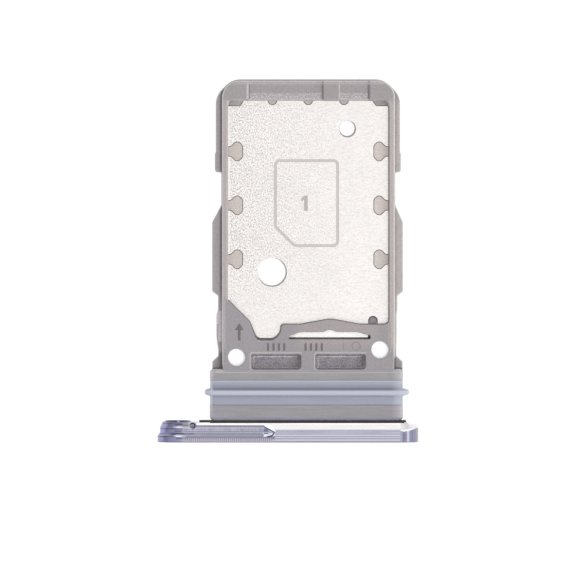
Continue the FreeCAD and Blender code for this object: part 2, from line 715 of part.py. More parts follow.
def seal_profile():
    """Section of the seal as (outward from the neck, along Y): a flat band with one rounded rib."""
    inner = -SEAL_GROOVE_DEPTH
    band = -SEAL_INSET
    tip = band + SEAL_RIB_HEIGHT
    rib = SEAL_NEAR + SEAL_RIB_FROM_EDGE
    corners = [
        (inner, SEAL_NEAR, 0),
        (band, SEAL_NEAR, 0),
        (band, rib - SEAL_RIB_FOOT, SEAL_RIB_FOOT_RADIUS),
        (tip, rib - SEAL_RIB_TIP_RADIUS, SEAL_RIB_TIP_RADIUS),
        (tip, rib + SEAL_RIB_TIP_RADIUS, SEAL_RIB_TIP_RADIUS),
        (band, rib + SEAL_RIB_FOOT, SEAL_RIB_FOOT_RADIUS),
        (band, SEAL_FAR, 0),
        (inner, SEAL_FAR, 0),
    ]
    return outline(corners)


def seal_ring():
    """Silicone ring: its section carried round the neck's outline from the middle of one long side."""
    around = neck_corners()
    spine = outline(around[1:] + around[:1] + [(NECK_MIDDLE, -NECK_TOP, 0)])
    section = seal_profile()
    section.rotate(Vector(0, 0, 0), Vector(1, 0, 0), 90)
    section.rotate(Vector(0, 0, 0), Vector(0, 0, 1), -90)
    section.translate(Vector(NECK_MIDDLE, -NECK_TOP, 0))
    return upright(spine.makePipeShell([section], True, True))


# Bonding film

def tang_corners(play):
    """Section of the cap's tang, or of the opening that it passes through."""
    half_width = TANG_WIDTH / 2 + play
    half_height = TANG_THICKNESS / 2 + play
    return rectangle(NECK_MIDDLE - half_width, NECK_MIDDLE + half_width, -half_height, half_height)


def bond_film():
    """Thin black film between the neck's front and the cap's back, with a window for the tang."""
    left = NECK_LEFT - FILM_OVERHANG_LEFT
    right = NECK_RIGHT + FILM_OVERHANG_RIGHT
    half = NECK_TOP - FILM_INSET
    sheet = prism(rectangle(left, right, -half, half, FILM_CORNER_RADIUS), CAP_THICKNESS, NECK_FRONT)
    return upright(sheet.cut(prism(tang_corners(TANG_PLAY), CAP_THICKNESS, NECK_FRONT)))


# Cap

def pill_end(middle, half_height, end_reach, start):
    """Half round about a point from a start angle, drawn out to a half ellipse by a longer reach."""
    if end_reach > half_height:
        return Part.ArcOfEllipse(Part.Ellipse(middle, end_reach, half_height), start, start + math.pi)
    return Part.ArcOfCircle(Part.Circle(middle, Vector(0, 0, 1), half_height), start, start + math.pi)


def pill(half_height, end_reach, height):
    """Wire of a long bar's section at one height, with a half round or half ellipse at each end."""
    right = Vector(CAP_END_CENTRE, 0, height)
    left = Vector(-CAP_END_CENTRE, 0, height)
    up = Vector(0, half_height, 0)
    right_end = pill_end(right, half_height, end_reach, -math.pi / 2)
    left_end = pill_end(left, half_height, end_reach, math.pi / 2)
    upper = Part.LineSegment(right + up, left + up)
    lower = Part.LineSegment(left - up, right - up)
    return Part.Wire([curve.toShape() for curve in (right_end, upper, left_end, lower)])


def pill_loft(levels):
    """Solid through pills at several heights; a level is (height, half height, reach of the ends)."""
    return Part.makeLoft([pill(half, reach, height) for height, half, reach in levels], True, True)


def cap_bar():
    """Round-ended bar with a softened front edge and a bevel round its back."""
    back = CAP_TOP - CAP_BEVEL_DEPTH
    bevel_start = CAP_THICKNESS - CAP_BEVEL_LENGTH
    lagging = CAP_TOP + CAP_BEVEL_END_LAG
    bar = Part.Face(pill(CAP_TOP, CAP_TOP, 0)).extrude(Vector(0, 0, CAP_THICKNESS))
    front_edges = [edge for edge in bar.Edges if edge.BoundBox.ZMax < CAP_THICKNESS / 2]
    bar = bar.makeFillet(CAP_FRONT_ROUND, front_edges)
    envelope = pill_loft([
        (-CUT_ROOM, CAP_TOP, lagging),
        (bevel_start, CAP_TOP, lagging),
        (CAP_THICKNESS, back, back),
    ])
    return bar.common(envelope)


def cutter_run(end_x, start):
    """Cutter's sweep from the left end of the cap up to a place along it, open at the back."""
    left = -CAP_LENGTH / 2 - CUT_ROOM
    depth = CAP_HEIGHT + 2 * CUT_ROOM
    corner = Vector(left, -depth / 2, start)
    return Part.makeBox(end_x - left, depth, CAP_THICKNESS + CUT_ROOM - start, corner)


def cutter_tip(end_x, round_y, radius):
    """Round end of the cutter's sweep."""
    depth = CAP_HEIGHT + 2 * CUT_ROOM
    return Part.makeCylinder(radius, depth, Vector(end_x, -depth / 2, round_y), Vector(0, 1, 0))


def step_cut():
    """Step milled round the pin hole's end of the cap, above, below and at the end, behind a slope."""
    inner = CAP_TOP - STEP_DEPTH
    back = CAP_THICKNESS + 2 * CUT_ROOM
    core = pill_loft([(-CUT_ROOM, inner, inner), (back, inner, inner)])
    sloped_core = pill_loft([
        (STEP_FROM_FRONT, CAP_TOP, CAP_TOP),
        (STEP_FROM_FRONT + STEP_SLOPE, inner, inner),
        (back, inner, inner),
    ])
    end_x = STEP_LENGTH - CAP_END_CENTRE
    run = cutter_run(end_x, STEP_FROM_FRONT).cut(sloped_core)
    return run.fuse(cutter_tip(end_x, STEP_END_FROM_FRONT, STEP_END_RADIUS).cut(core))


def boss_bevel_cut():
    """Deeper bevel behind the step, round the pin hole only."""
    inner = CAP_TOP - STEP_DEPTH
    back = inner - BOSS_BEVEL_DEPTH
    start = CAP_THICKNESS - BOSS_BEVEL_LENGTH
    core = pill_loft([(-CUT_ROOM, inner, inner), (start, inner, inner), (CAP_THICKNESS, back, back)])
    end_x = BOSS_BEVEL_REACH - CAP_END_CENTRE
    round_y = CAP_THICKNESS - BOSS_BEVEL_END_RADIUS
    region = cutter_run(end_x, start).fuse(cutter_tip(end_x, round_y, BOSS_BEVEL_END_RADIUS))
    slab = Part.makeBox(CAP_LENGTH, CAP_HEIGHT, CAP_THICKNESS, Vector(-CAP_LENGTH, -CAP_TOP, 0))
    return region.common(slab).cut(core)


def pin_hole():
    """Hole for the ejector pin, through the cap and its boss, with a bevelled mouth."""
    radius = PIN_HOLE_DIAMETER / 2
    middle = Vector(-CAP_END_CENTRE, 0, -CUT_ROOM)
    bore = Part.makeCylinder(radius, CAP_THICKNESS + BOSS_TIP_RISE + 2 * CUT_ROOM, middle)
    mouth = Vector(-CAP_END_CENTRE, 0, 0)
    return bore.fuse(Part.makeCone(radius + PIN_HOLE_BEVEL, radius, PIN_HOLE_BEVEL, mouth))


def boss_tip():
    """Low cone round the pin hole behind the cap."""
    base = CAP_TOP - STEP_DEPTH - BOSS_BEVEL_DEPTH
    foot = Vector(-CAP_END_CENTRE, 0, CAP_THICKNESS)
    return Part.makeCone(base, BOSS_TIP_DIAMETER / 2, BOSS_TIP_RISE, foot)


def end_cap():
    """Milled aluminium cap with the ejector pin's hole and the tang that goes into the neck."""
    bar = cap_bar().cut([step_cut(), boss_bevel_cut()])
    tang = prism(tang_corners(0), CAP_THICKNESS - CAP_BEVEL_LENGTH, TANG_BACK)
    return upright(fused([bar, boss_tip(), tang]).cut(pin_hole()))


SUB_PARTS = {
    "tray_frame": tray_frame,
    "card_plate": card_plate,
    "seal_ring": seal_ring,
    "bond_film": bond_film,
    "end_cap": end_cap,
}

os.makedirs("parts", exist_ok=True)
for name, make in SUB_PARTS.items():
    shape = make()
    shape.exportStep(f"parts/{name}.step")
    state = "valid" if shape.isValid() else "not valid"
    print(name, shape.ShapeType, len(shape.Solids), state, shape.Volume)
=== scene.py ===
import functools
import math
import bpy
import numpy as np
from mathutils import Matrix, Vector


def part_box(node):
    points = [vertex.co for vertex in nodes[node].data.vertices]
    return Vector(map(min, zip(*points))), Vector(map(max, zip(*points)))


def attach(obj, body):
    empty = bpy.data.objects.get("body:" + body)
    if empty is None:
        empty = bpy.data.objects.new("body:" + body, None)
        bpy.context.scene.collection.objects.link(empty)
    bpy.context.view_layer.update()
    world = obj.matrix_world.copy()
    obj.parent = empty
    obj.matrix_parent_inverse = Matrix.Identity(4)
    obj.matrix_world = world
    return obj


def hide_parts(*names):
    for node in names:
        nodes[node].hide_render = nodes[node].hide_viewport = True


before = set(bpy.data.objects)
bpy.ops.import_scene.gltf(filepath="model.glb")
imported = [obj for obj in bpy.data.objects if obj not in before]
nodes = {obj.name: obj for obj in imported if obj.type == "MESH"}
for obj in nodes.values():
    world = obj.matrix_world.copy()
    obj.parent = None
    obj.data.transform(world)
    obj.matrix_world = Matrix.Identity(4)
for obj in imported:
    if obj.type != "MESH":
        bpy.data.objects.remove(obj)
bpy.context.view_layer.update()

# Card tray with a moulded frame, a steel floor, a soft seal and a milled cap.
# Places are in millimetres in the part's frame; MM turns them into metres.
MM = 0.001


def span_of(node):
    """Lowest and highest corner of a solid, in millimetres."""
    low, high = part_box(node)
    return np.array(low) / MM, np.array(high) / MM


FRAME_LOW, FRAME_HIGH = span_of("tray_frame")
PLATE_LOW, PLATE_HIGH = span_of("card_plate")
SEAL_LOW, SEAL_HIGH = span_of("seal_ring")
FILM_LOW, FILM_HIGH = span_of("bond_film")
CAP_BOTTOM = span_of("end_cap")[0][2]

# Heights and places shared with the solids
PLATE_TOP = PLATE_HIGH[2]
FRAME_TOP = 0.775
NECK_TOP = FRAME_HIGH[2]
NECK_LEFT = FRAME_LOW[0]
NECK_RIGHT = NECK_LEFT + 10.715
NECK_FRONT = FRAME_LOW[1]
NECK_BACK = NECK_FRONT + 2.80
NECK_EDGE_RADIUS = 0.28
GROOVE_DEPTH = 0.22
CAP_FACE = FILM_LOW[1]
POCKET_LEFT = PLATE_LOW[0] + 0.20
POCKET_RIGHT = PLATE_HIGH[0] - 0.20
POCKET_NEAR = NECK_BACK + 2.58
POCKET_FAR = PLATE_HIGH[1] - 0.45
FRAME_LEFT = POCKET_LEFT - 0.34
FRAME_RIGHT = POCKET_RIGHT + 0.37
TRAY_MIDDLE = (POCKET_LEFT + POCKET_RIGHT) / 2
FRAME_FAR = POCKET_FAR + 1.11
FRAME_CORNER = 0.94
RECESS_LEFT = -2.07
RECESS_NEAR = NECK_BACK + 0.03
RECESS_LENGTH = 2.82
RECESS_PITCH = 3.58
PLATE_HOLES = (
    (POCKET_LEFT + 2.44, POCKET_NEAR + 2.86, 0.79), (POCKET_RIGHT - 2.27, POCKET_FAR - 1.55, 0.445),
)
BAR_HOLE_RADIUS = 0.47
BAR_HOLES = ((FRAME_LEFT + 0.80, NECK_BACK + 0.71), (FRAME_RIGHT - 0.85, NECK_BACK + 1.13))
SEAL_NEAR = SEAL_LOW[1]
SEAL_FAR = SEAL_HIGH[1]
SEAL_RIB = SEAL_NEAR + 0.72

# Places that the materials share
ABOVE_PLATE = (0.08, 0.10)
NECK_RIGHT_SIDE = (5.75, 6.15)
SUNK_PAD = (4.73, 6.73)
STEP_END = (-1.075, 0.65)
HOOK = (-5.295, 0.92)
RIDGE_LINES = (0.433, 0.322, 0.211)
RIDGE_PITCH = 0.111
FLUTE_PITCH = 0.108
SHADE_LINE_WIDTH = 0.05

# Painted highlights on a recess's rims and painted shade on its walls and feet, from its near left corner:
# left, right, near, far, tone
RECESS_LIGHT_AND_SHADE = (
    (-0.05, 0.02, 0.05, 0.85, (204, 198, 200)), (0.0, 2.82, 0.855, 0.94, (200, 194, 196)),
    (0.04, 2.80, 0.74, 0.81, (96, 92, 97)), (0.10, 2.62, 0.685, 0.735, (218, 213, 219)),
    (0.07, 0.12, 0.06, 0.78, (118, 113, 119)), (0.13, 0.22, 0.10, 0.68, (188, 183, 192)),
    (2.32, 2.58, 0.08, 0.70, (144, 140, 147)), (2.58, 2.71, 0.08, 0.73, (130, 125, 131)),
    (2.71, 2.80, 0.0, 0.80, (100, 95, 101)), (0.02, 2.80, -0.03, 0.08, (98, 92, 96)),
)


# Surfaces

def placed(name, data):
    """Object of a mesh, a light or a camera, put in the scene."""
    item = bpy.data.objects.new(name, data)
    bpy.context.scene.collection.objects.link(item)
    return item


def meshed(name, points, faces, finish, smooth=False):
    """Object made from an array of points in millimetres and its faces."""
    mesh = bpy.data.meshes.new(name)
    mesh.from_pydata((np.asarray(points, float) * MM).tolist(), [], [list(face) for face in faces])
    mesh.polygons.foreach_set("use_smooth", np.full(len(mesh.polygons), smooth))
    mesh.materials.append(finish)
    mesh.update()
    return placed(name, mesh)


def mesh_piece(name, points, faces, finish, smooth=False):
    """Piece of the tray, in one of its material slots."""
    piece = meshed(name, points, faces, finish, smooth)
    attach(piece, "root")
    return piece


def grid_faces(rows, columns, close_rows, close_columns):
    """Quads of a grid of points; a closed direction joins its last line of points to its first."""
    row = np.arange(rows if close_rows else rows - 1)
    column = np.arange(columns if close_columns else columns - 1)
    r, c = np.meshgrid(row, column, indexing="ij")
    this_row, next_row = r * columns, (r + 1) % rows * columns
    c_next = (c + 1) % columns
    quads = np.stack([this_row + c, this_row + c_next, next_row + c_next, next_row + c], -1)
    return quads.reshape(-1, 4)


def rounded(corners, radii, steps):
    """Closed outline with its corners rounded.

    At each corner an arc touches both sides. It starts at a distance r / tan(half the inner
    angle) before the corner, and its points are its centre plus a turning vector.
    """
    corners = np.asarray(corners, float)
    line = []
    befores, afters = np.roll(corners, 1, 0), np.roll(corners, -1, 0)
    for before, corner, after, radius in zip(befores, corners, afters, radii):
        if radius == 0:
            line.append(corner[None])
            continue
        back = (before - corner) / np.linalg.norm(before - corner)
        ahead = (after - corner) / np.linalg.norm(after - corner)
        half = math.acos(np.clip(back @ ahead, -1, 1)) / 2
        middle = back + ahead
        centre = corner + middle / np.linalg.norm(middle) * radius / math.sin(half)
        start = corner + back * radius / math.tan(half) - centre
        end = corner + ahead * radius / math.tan(half) - centre
        turn = math.atan2(start[0] * end[1] - start[1] * end[0], start @ end)
        angle = np.linspace(0, turn, steps)[:, None]
        side = np.array([-start[1], start[0]])
        line.append(centre + start * np.cos(angle) + side * np.sin(angle))
    return np.concatenate(line)


def outward_of(line):
    """Unit vectors that point out of a closed line of points, drawn anticlockwise."""
    along = np.roll(line, -1, 0) - np.roll(line, 1, 0)
    out = np.stack([along[:, 1], -along[:, 0]], 1)
    return out / np.linalg.norm(out, axis=1, keepdims=True)


def stroke_grid(line, width, foot, rise, edge):
    """Raised line: a low flat-topped section carried along a path.

    A point is the path's point, plus its side vector times the section's width, plus up times
    the section's height. Both ends narrow to a tip, in a half round about the path's end.
    """
    line = np.asarray(line, float)
    along = np.gradient(line, axis=0)
    along /= np.linalg.norm(along, axis=1, keepdims=True)
    side = np.stack([-along[:, 1], along[:, 0]], 1)
    half = width / 2
    end_steps = 4
    turn = np.linspace(0, math.pi / 2, end_steps + 1)
    before = line[0] - along[0] * half * np.cos(turn)[:, None]
    after = line[-1] + along[-1] * half * np.sin(turn)[:, None]
    path = np.concatenate([before[:-1], line, after[1:]])
    sides = np.concatenate([np.repeat(side[:1], end_steps, 0), side, np.repeat(side[-1:], end_steps, 0)])
    reach = np.concatenate([np.sin(turn)[:-1], np.ones(len(line)), np.cos(turn)[1:]])
    reach = np.maximum(reach, 0.02)
    section = np.array([[-half, foot], [-half, foot + rise - edge], [-half + edge, foot + rise],
                        [half - edge, foot + rise], [half, foot + rise - edge], [half, foot]])
    flat = path[:, None, :] + sides[:, None, :] * section[None, :, :1] * reach[:, None, None]
    height = np.broadcast_to(section[None, :, 1:], flat.shape[:2] + (1,))
    return np.concatenate([flat, height], 2)


def stroked_piece(name, lines, width, base, rise, finish, edge=0.006, sunk=0.02, side=1):
    """Piece made of raised lines that stand on a face; one face closes each end of a line.

    Side is 1 on the upper face. On the underside it is -1, which mirrors the heights and turns
    the faces round again.
    """
    points, faces, count = [], [], 0
    for line in lines:
        grid = stroke_grid(line, width, base - sunk, rise + sunk, edge)
        rows, columns = grid.shape[:2]
        points.append(grid.reshape(-1, 3))
        faces += (grid_faces(rows, columns, False, True)[:, ::-1] + count).tolist()
        faces.append([count + c for c in range(columns)])
        faces.append([count + (rows - 1) * columns + c for c in reversed(range(columns))])
        count += rows * columns
    points = np.concatenate(points) * (1, 1, side)
    faces = [face[::side] for face in faces]
    mesh_piece(name, points, faces, finish)


# Finishes

def linear(red, green, blue):
    """Linear colour of one given as it looks on a screen, from 0 to 255."""
    seen = np.array([red, green, blue]) / 255
    light = np.where(seen <= 0.04045, seen / 12.92, ((seen + 0.055) / 1.055) ** 2.4)
    return (*light.tolist(), 1.0)


class Nodes:
    """Node tree of a material or a world. Every helper adds nodes and returns their output."""

    def __init__(self, owner):
        owner.use_nodes = True
        self.tree = owner.node_tree
        self.tree.nodes.clear()

    def node(self, kind, inputs=(), operation=None):
        """New node with its operation, and with values or outputs for its sockets."""
        node = self.tree.nodes.new(kind)
        if operation:
            node.operation = operation
        for socket, value in dict(inputs).items():
            self.put(node.inputs[socket], value)
        return node

    def put(self, socket, value):
        """Joins a node's output to a socket, or sets the socket to a plain value."""
        if isinstance(value, bpy.types.NodeSocket):
            self.tree.links.new(value, socket)
        elif value is not None:
            socket.default_value = value

    def math(self, operation, *values):
        """Result of one sum on numbers or on other nodes' outputs."""
        return self.node("ShaderNodeMath", enumerate(values), operation).outputs[0]

    def times(self, *factors):
        """Product of masks and numbers."""
        return functools.reduce(lambda one, other: self.math("MULTIPLY", one, other), factors)

    def less(self, value, amount):
        """Value minus an amount."""
        return self.math("SUBTRACT", value, amount)

    def ramp(self, value, low, high, start=0.0, end=1.0):
        """Straight ramp from start at low to end at high, level outside."""
        return self.node("ShaderNodeMapRange", {
            "Value": value, "From Min": low, "From Max": high, "To Min": start, "To Max": end,
        }).outputs[0]


class Finish(Nodes):
    """Material on a Principled surface, from places in millimetres in the piece's own frame."""

    def __init__(self, name, roughness, metallic=0.0, specular=0.5):
        self.material = bpy.data.materials.get(name) or bpy.data.materials.new(name)
        super().__init__(self.material)
        self.surface = self.node("ShaderNodeBsdfPrincipled", {
            "Metallic": metallic, "Roughness": roughness, "Specular IOR Level": specular,
        })
        self.output = self.node("ShaderNodeOutputMaterial", {"Surface": self.surface.outputs[0]})
        metres = self.node("ShaderNodeTexCoord").outputs["Object"]
        self.place = self.scaled(metres, 1 / MM)
        self.x, self.y, self.z = self.node("ShaderNodeSeparateXYZ", {0: self.place}).outputs
        self.height = self.math("ABSOLUTE", self.z)

    def scaled(self, vector, amount):
        """Place or colour times a number."""
        return self.node("ShaderNodeVectorMath", {0: vector, "Scale": amount}, "SCALE").outputs[0]

    def stretched(self, *factors):
        """The place, scaled differently along X, Y and Z, so that a pattern becomes streaks."""
        return self.node("ShaderNodeVectorMath", {0: self.place, 1: factors}, "MULTIPLY").outputs[0]

    def fall(self, value, low, high):
        """One below low, zero above high, and a straight ramp between them."""
        return self.ramp(value, low, high, 1.0, 0.0)

    def spread(self, noise, start=0.0, end=1.0):
        """Noise spread from start to end: nearly all of its values lie between 0.3 and 0.7."""
        return self.ramp(noise, 0.3, 0.7, start, end)

    def between(self, value, low, high, soft=0.004):
        """One between two values and zero outside, with soft edges."""
        rise = self.ramp(value, low - soft, low + soft)
        return self.times(rise, self.fall(value, high - soft, high + soft))

    def lines(self, value, places, width):
        """One on a few thin lines across a value, zero between them."""
        masks = [self.between(value, place - width / 2, place + width / 2, width / 3) for place in places]
        return functools.reduce(lambda one, other: self.math("MAXIMUM", one, other), masks)

    def away(self, x, y):
        """Distance of a place from the upright line through x and y."""
        across, along = self.less(self.x, x), self.less(self.y, y)
        return self.math("SQRT", self.math("ADD", self.times(across, across), self.times(along, along)))

    def slant(self, x, y):
        """How far a place lies to the lower right of a point: its step along X less that along Y."""
        return self.less(self.less(self.x, self.y), x - y)

    def rounded_box(self, middle, half, radius):
        """Distance to a rounded rectangle's edge, seen from above: negative inside it."""
        parts = []
        for place, centre, reach in zip((self.x, self.y), middle, half):
            parts.append(self.less(self.math("ABSOLUTE", self.less(place, centre)), reach - radius))
        squares = [self.math("POWER", self.math("MAXIMUM", part, 0.0), 2.0) for part in parts]
        corner = self.math("SQRT", self.math("ADD", *squares))
        inside = self.math("MINIMUM", self.math("MAXIMUM", *parts), 0.0)
        return self.less(self.math("ADD", corner, inside), radius)

    def tilt(self):
        """How level the face is: one where it faces up or down, zero on an upright wall."""
        normal = self.node("ShaderNodeNewGeometry").outputs["True Normal"]
        return self.math("ABSOLUTE", self.node("ShaderNodeSeparateXYZ", {0: normal}).outputs[2])

    def noise(self, scale, detail=2.0, rough=0.5, place=None):
        """Soft random pattern; the scale is in waves per millimetre."""
        return self.node("ShaderNodeTexNoise", {
            "Vector": place or self.place, "Scale": scale, "Detail": detail, "Roughness": rough,
        }).outputs["Fac"]

    def mixed(self, share, first, second):
        """Mix of two colours by the second one's share. A colour is an output or a tone."""
        node = self.node("ShaderNodeMix", {"Factor": share})
        node.data_type = "RGBA"
        sockets = [socket for socket in node.inputs if socket.type == "RGBA"]
        for socket, colour in zip(sockets, (first, second)):
            is_tone = isinstance(colour, tuple) and len(colour) == 3
            self.put(socket, linear(*colour) if is_tone else colour)
        return [socket for socket in node.outputs if socket.type == "RGBA"][0]

    def layered(self, colour, layers):
        """Colour with tones laid over it in turn: (mask, tone) or (mask, tone, share) each."""
        for mask, tone, *share in layers:
            colour = self.mixed(self.times(mask, *share), colour, tone)
        return colour

    def painted(self, colour, patches, *masks, soft=0.015, origin=(0.0, 0.0)):
        """Colour with soft-edged patches: left, right, near and far from the origin, and tone."""
        layers = []
        for left, right, near, far, tone in patches:
            across = self.between(self.x, origin[0] + left, origin[0] + right, soft)
            along = self.between(self.y, origin[1] + near, origin[1] + far, soft)
            layers.append((self.times(across, along, *masks), tone))
        return self.layered(colour, layers)

    def finish(self, colour, roughness, height, depth, edge=0.0):
        """Joins colour, roughness, relief (height times depth in millimetres) and softened edges."""
        normal = None
        if edge:
            bevel = self.node("ShaderNodeBevel", {"Radius": edge * MM})
            bevel.samples = 6
            normal = bevel.outputs[0]
        bump = self.node("ShaderNodeBump", {"Distance": depth * MM, "Height": height, "Normal": normal})
        for name, value in (("Base Color", colour), ("Roughness", roughness), ("Normal", bump.outputs[0])):
            self.put(self.surface.inputs[name], value)
        return self.material


def distance_to_frame(f):
    """How far a place lies outside the frame's upper edge, with its rounded far corners."""
    middle = (FRAME_LEFT + FRAME_RIGHT) / 2
    far_half = 20
    half = ((FRAME_RIGHT - FRAME_LEFT) / 2, far_half)
    return f.rounded_box((middle, FRAME_FAR - far_half), half, FRAME_CORNER)


def wall_tones(f, colour, low, right_half):
    """Pale thin walls and rims, and dark feet where the walls rise from the rails, mostly painted light and
    shade; a painted highlight on the pocket's left wall, painted shade on its right wall; and the leaf.
    """
    edge = distance_to_frame(f)
    along_pocket = f.between(f.y, POCKET_NEAR - 1.4, POCKET_FAR, 0.2)
    left_wall = f.times(f.between(f.x, FRAME_LEFT - 0.01, POCKET_LEFT + 0.02, 0.02),
                        f.ramp(f.y, POCKET_NEAR + 1.2, POCKET_NEAR + 1.6))
    right_side = f.ramp(f.x, POCKET_RIGHT - 0.02, POCKET_RIGHT + 0.02)
    # Paler thin walls and right side, partly painted light from the right; the left rail lightened against
    # its shade.
    colour = f.layered(colour, (
        (f.times(along_pocket, left_wall), (182, 174, 173)),
        (f.times(along_pocket, right_side), (188, 180, 178)),
        (f.times(low, f.fall(f.x, FRAME_LEFT - 0.2, FRAME_LEFT - 0.1)), (172, 165, 168)),
    ))
    # Painted highlight along the frame's upper rim.
    rim = f.times(f.between(edge, -0.07, -0.01, 0.012), f.ramp(f.height, 0.5, 0.6))
    colour = f.mixed(rim, colour, f.mixed(right_half, (210, 203, 205), (212, 205, 203)))
    left_part = f.fall(f.x, 0.0, 0.1)
    right_part = f.ramp(f.x, 0.0, 0.1)
    beside_pocket = f.times(low, f.ramp(f.y, POCKET_NEAR + 1.0, POCKET_NEAR + 1.8), f.fall(f.y, 19.9, 20.1))
    near_foot_shade = f.times(low, f.ramp(f.x, -4.15, -3.72), left_part, f.between(f.y, 4.0, 5.0, 0.1))
    # Painted shade beside the walls' feet on the left and at the near foot, painted light beside them on the
    # right.
    colour = f.layered(colour, (
        (f.times(f.between(edge, 0.0, 0.10, 0.02), left_part, beside_pocket), (120, 114, 121)),
        (f.times(f.between(edge, 0.01, 0.06, 0.015), right_part, beside_pocket), (166, 160, 160)),
        (near_foot_shade, (98, 91, 96), 0.75),
    ))
    # Painted highlight on the pocket's left wall and painted shade on its right wall.
    pocket_wall_light_and_shade = f.painted(colour, (
        (POCKET_LEFT - 0.055, POCKET_LEFT + 0.03, POCKET_NEAR + 1.3, POCKET_FAR, (213, 205, 202)),
        (POCKET_RIGHT - 0.04, POCKET_RIGHT + 0.045, POCKET_NEAR + 0.2, POCKET_FAR - 0.3, (112, 105, 105)),
    ))
    colour = f.mixed(f.ramp(f.height, *ABOVE_PLATE), colour, pocket_wall_light_and_shade)
    leaf = f.times(f.between(f.y, 5.35, POCKET_NEAR + 0.35, 0.15), f.between(f.x, 0.6, 4.9, 0.3))
    return f.mixed(leaf, colour, (171, 163, 163))


def neck_tones(f, colour, low, neck, level):
    """Neck: paler at its two rounded sides as painted highlights, blue-grey beside the cap, with dark rail
    roots of painted shade, and more painted light and shade by the neck's back and on the rails.
    """
    # Painted highlights on the neck's two rounded sides.
    right_side = f.ramp(f.x, *NECK_RIGHT_SIDE)
    upper = f.mixed(right_side, (160, 157, 161), (184, 181, 184))
    upper = f.mixed(f.fall(f.x, -4.22, -4.05), upper, (186, 183, 194))
    lower = f.mixed(right_side, (156, 153, 159), (178, 173, 178))
    lower = f.mixed(f.fall(f.x, -4.22, -4.00), lower, (168, 164, 180))
    colour = f.mixed(neck, colour, upper)
    colour = f.mixed(f.fall(f.y, SEAL_NEAR - 0.02, SEAL_NEAR), colour, lower)
    beside_cap = f.fall(f.y, NECK_FRONT + 0.13, NECK_FRONT + 0.17)
    colour = f.mixed(beside_cap, colour, (128, 140, 166))
    # Painted shade where the rails meet the neck.
    roots = ((NECK_LEFT - 0.1, FRAME_LEFT + 0.05), (FRAME_RIGHT - 0.04, NECK_RIGHT + 0.1))
    root_y = (NECK_BACK, NECK_BACK + 0.12)
    colour = f.painted(colour, [(*root, *root_y, (84, 76, 78)) for root in roots], low)
    # Painted highlights on the neck's back edge and left side, painted shade by the frame's corners at the
    # neck, and painted light by the pocket's right wall and on the relief's edge.
    colour = f.painted(colour, (
        (NECK_LEFT + 0.1, NECK_RIGHT - 0.1, NECK_BACK - 0.17, NECK_BACK - 0.11, (182, 178, 178)),
        (NECK_LEFT + 0.06, NECK_LEFT + 0.12, NECK_FRONT + 0.3, NECK_BACK - 0.1, (186, 184, 198)),
        (FRAME_LEFT - 0.02, FRAME_LEFT + 0.06, NECK_BACK, NECK_BACK + 0.22, (92, 80, 74)),
        (FRAME_RIGHT - 0.07, FRAME_RIGHT + 0.04, NECK_BACK, NECK_BACK + 0.66, (120, 113, 114)),
        (POCKET_RIGHT - 0.03, POCKET_RIGHT + 0.14, NECK_BACK + 0.95, POCKET_NEAR + 0.15, (170, 164, 165)),
        (-1.66, -0.90, 5.60, 5.67, (188, 180, 182)),
    ))
    # Painted highlights on level faces: the neck's back bevel, the left rail's swell and waist, the left
    # wall's rim.
    return f.painted(colour, (
        (FRAME_LEFT - 0.36, FRAME_LEFT + 0.1, NECK_BACK - 0.14, NECK_BACK - 0.01, (190, 183, 174)),
        (-3.96, -3.84, 6.55, 7.35, (206, 202, 212)),
        (FRAME_LEFT - 0.21, FRAME_LEFT - 0.02, 5.6, 7.3, (204, 197, 203)),
        (FRAME_LEFT + 0.07, FRAME_LEFT + 0.20, 5.2, 7.9, (176, 170, 173)),
    ), level)


def recess_tones(f, colour, in_near_bar, recess):
    """Grained floors of the two recesses, with painted highlights and painted shade on their rims, walls and
    feet, and pale corners painted over the floors' square corners so that they read as rounded.
    """
    colour = f.mixed(recess, colour, (152, 147, 153))
    for left in (RECESS_LEFT, RECESS_LEFT + RECESS_PITCH):
        # Painted highlights and painted shade round each recess.
        colour = f.painted(colour, RECESS_LIGHT_AND_SHADE, origin=(left, RECESS_NEAR))
        outline = f.rounded_box((left + RECESS_LENGTH / 2, RECESS_NEAR + 0.44), (1.395, 0.45), 0.24)
        corners = f.times(in_near_bar, f.between(outline, 0.0, 0.20, 0.015), f.ramp(f.height, 0.30, 0.32))
        beside = f.between(f.x, left - 0.01, left + RECESS_LENGTH + 0.01)
        colour = f.mixed(f.times(corners, beside), colour, (186, 181, 184))
    return colour


def channel_tones(f, colour, coarse_band, sparkle):
    """Sparkling floors of the two channels in the far bar, with painted highlights on their rims and left
    ends, and painted shade on their right ends.
    """
    colour = f.layered(colour, (
        (coarse_band, (166, 160, 163)),
        (f.times(coarse_band, f.ramp(sparkle, 0.50, 0.62)), (220, 214, 218)),
    ))
    channel_y = (POCKET_FAR + 0.08, FRAME_FAR - 0.05)
    near_rim_y = (POCKET_FAR - 0.02, POCKET_FAR + 0.10)
    wall_rim_y = (POCKET_FAR - 0.01, POCKET_FAR + 0.05)
    # Painted highlights on the channels' left ends and rims, painted shade on their right ends.
    return f.painted(colour, (
        (-2.29, -2.18, *channel_y, (206, 201, 203)),
        (-2.17, -2.11, *channel_y, (138, 132, 137)),
        (1.87, 2.00, *channel_y, (130, 125, 130)),
        (2.82, 2.89, *channel_y, (204, 199, 200)),
        (4.43, 4.57, *channel_y, (124, 119, 124)),
        (-3.0, 5.3, FRAME_FAR - 0.22, FRAME_FAR - 0.09, (179, 173, 175)),
        (-2.19, 1.90, *near_rim_y, (196, 190, 192)),
        (2.86, 4.47, *near_rim_y, (196, 190, 192)),
        (POCKET_LEFT + 0.30, -2.35, *wall_rim_y, (212, 205, 203)),
        (4.75, POCKET_RIGHT - 0.25, *wall_rim_y, (212, 205, 203)),
    ), f.ramp(f.height, *ABOVE_PLATE))


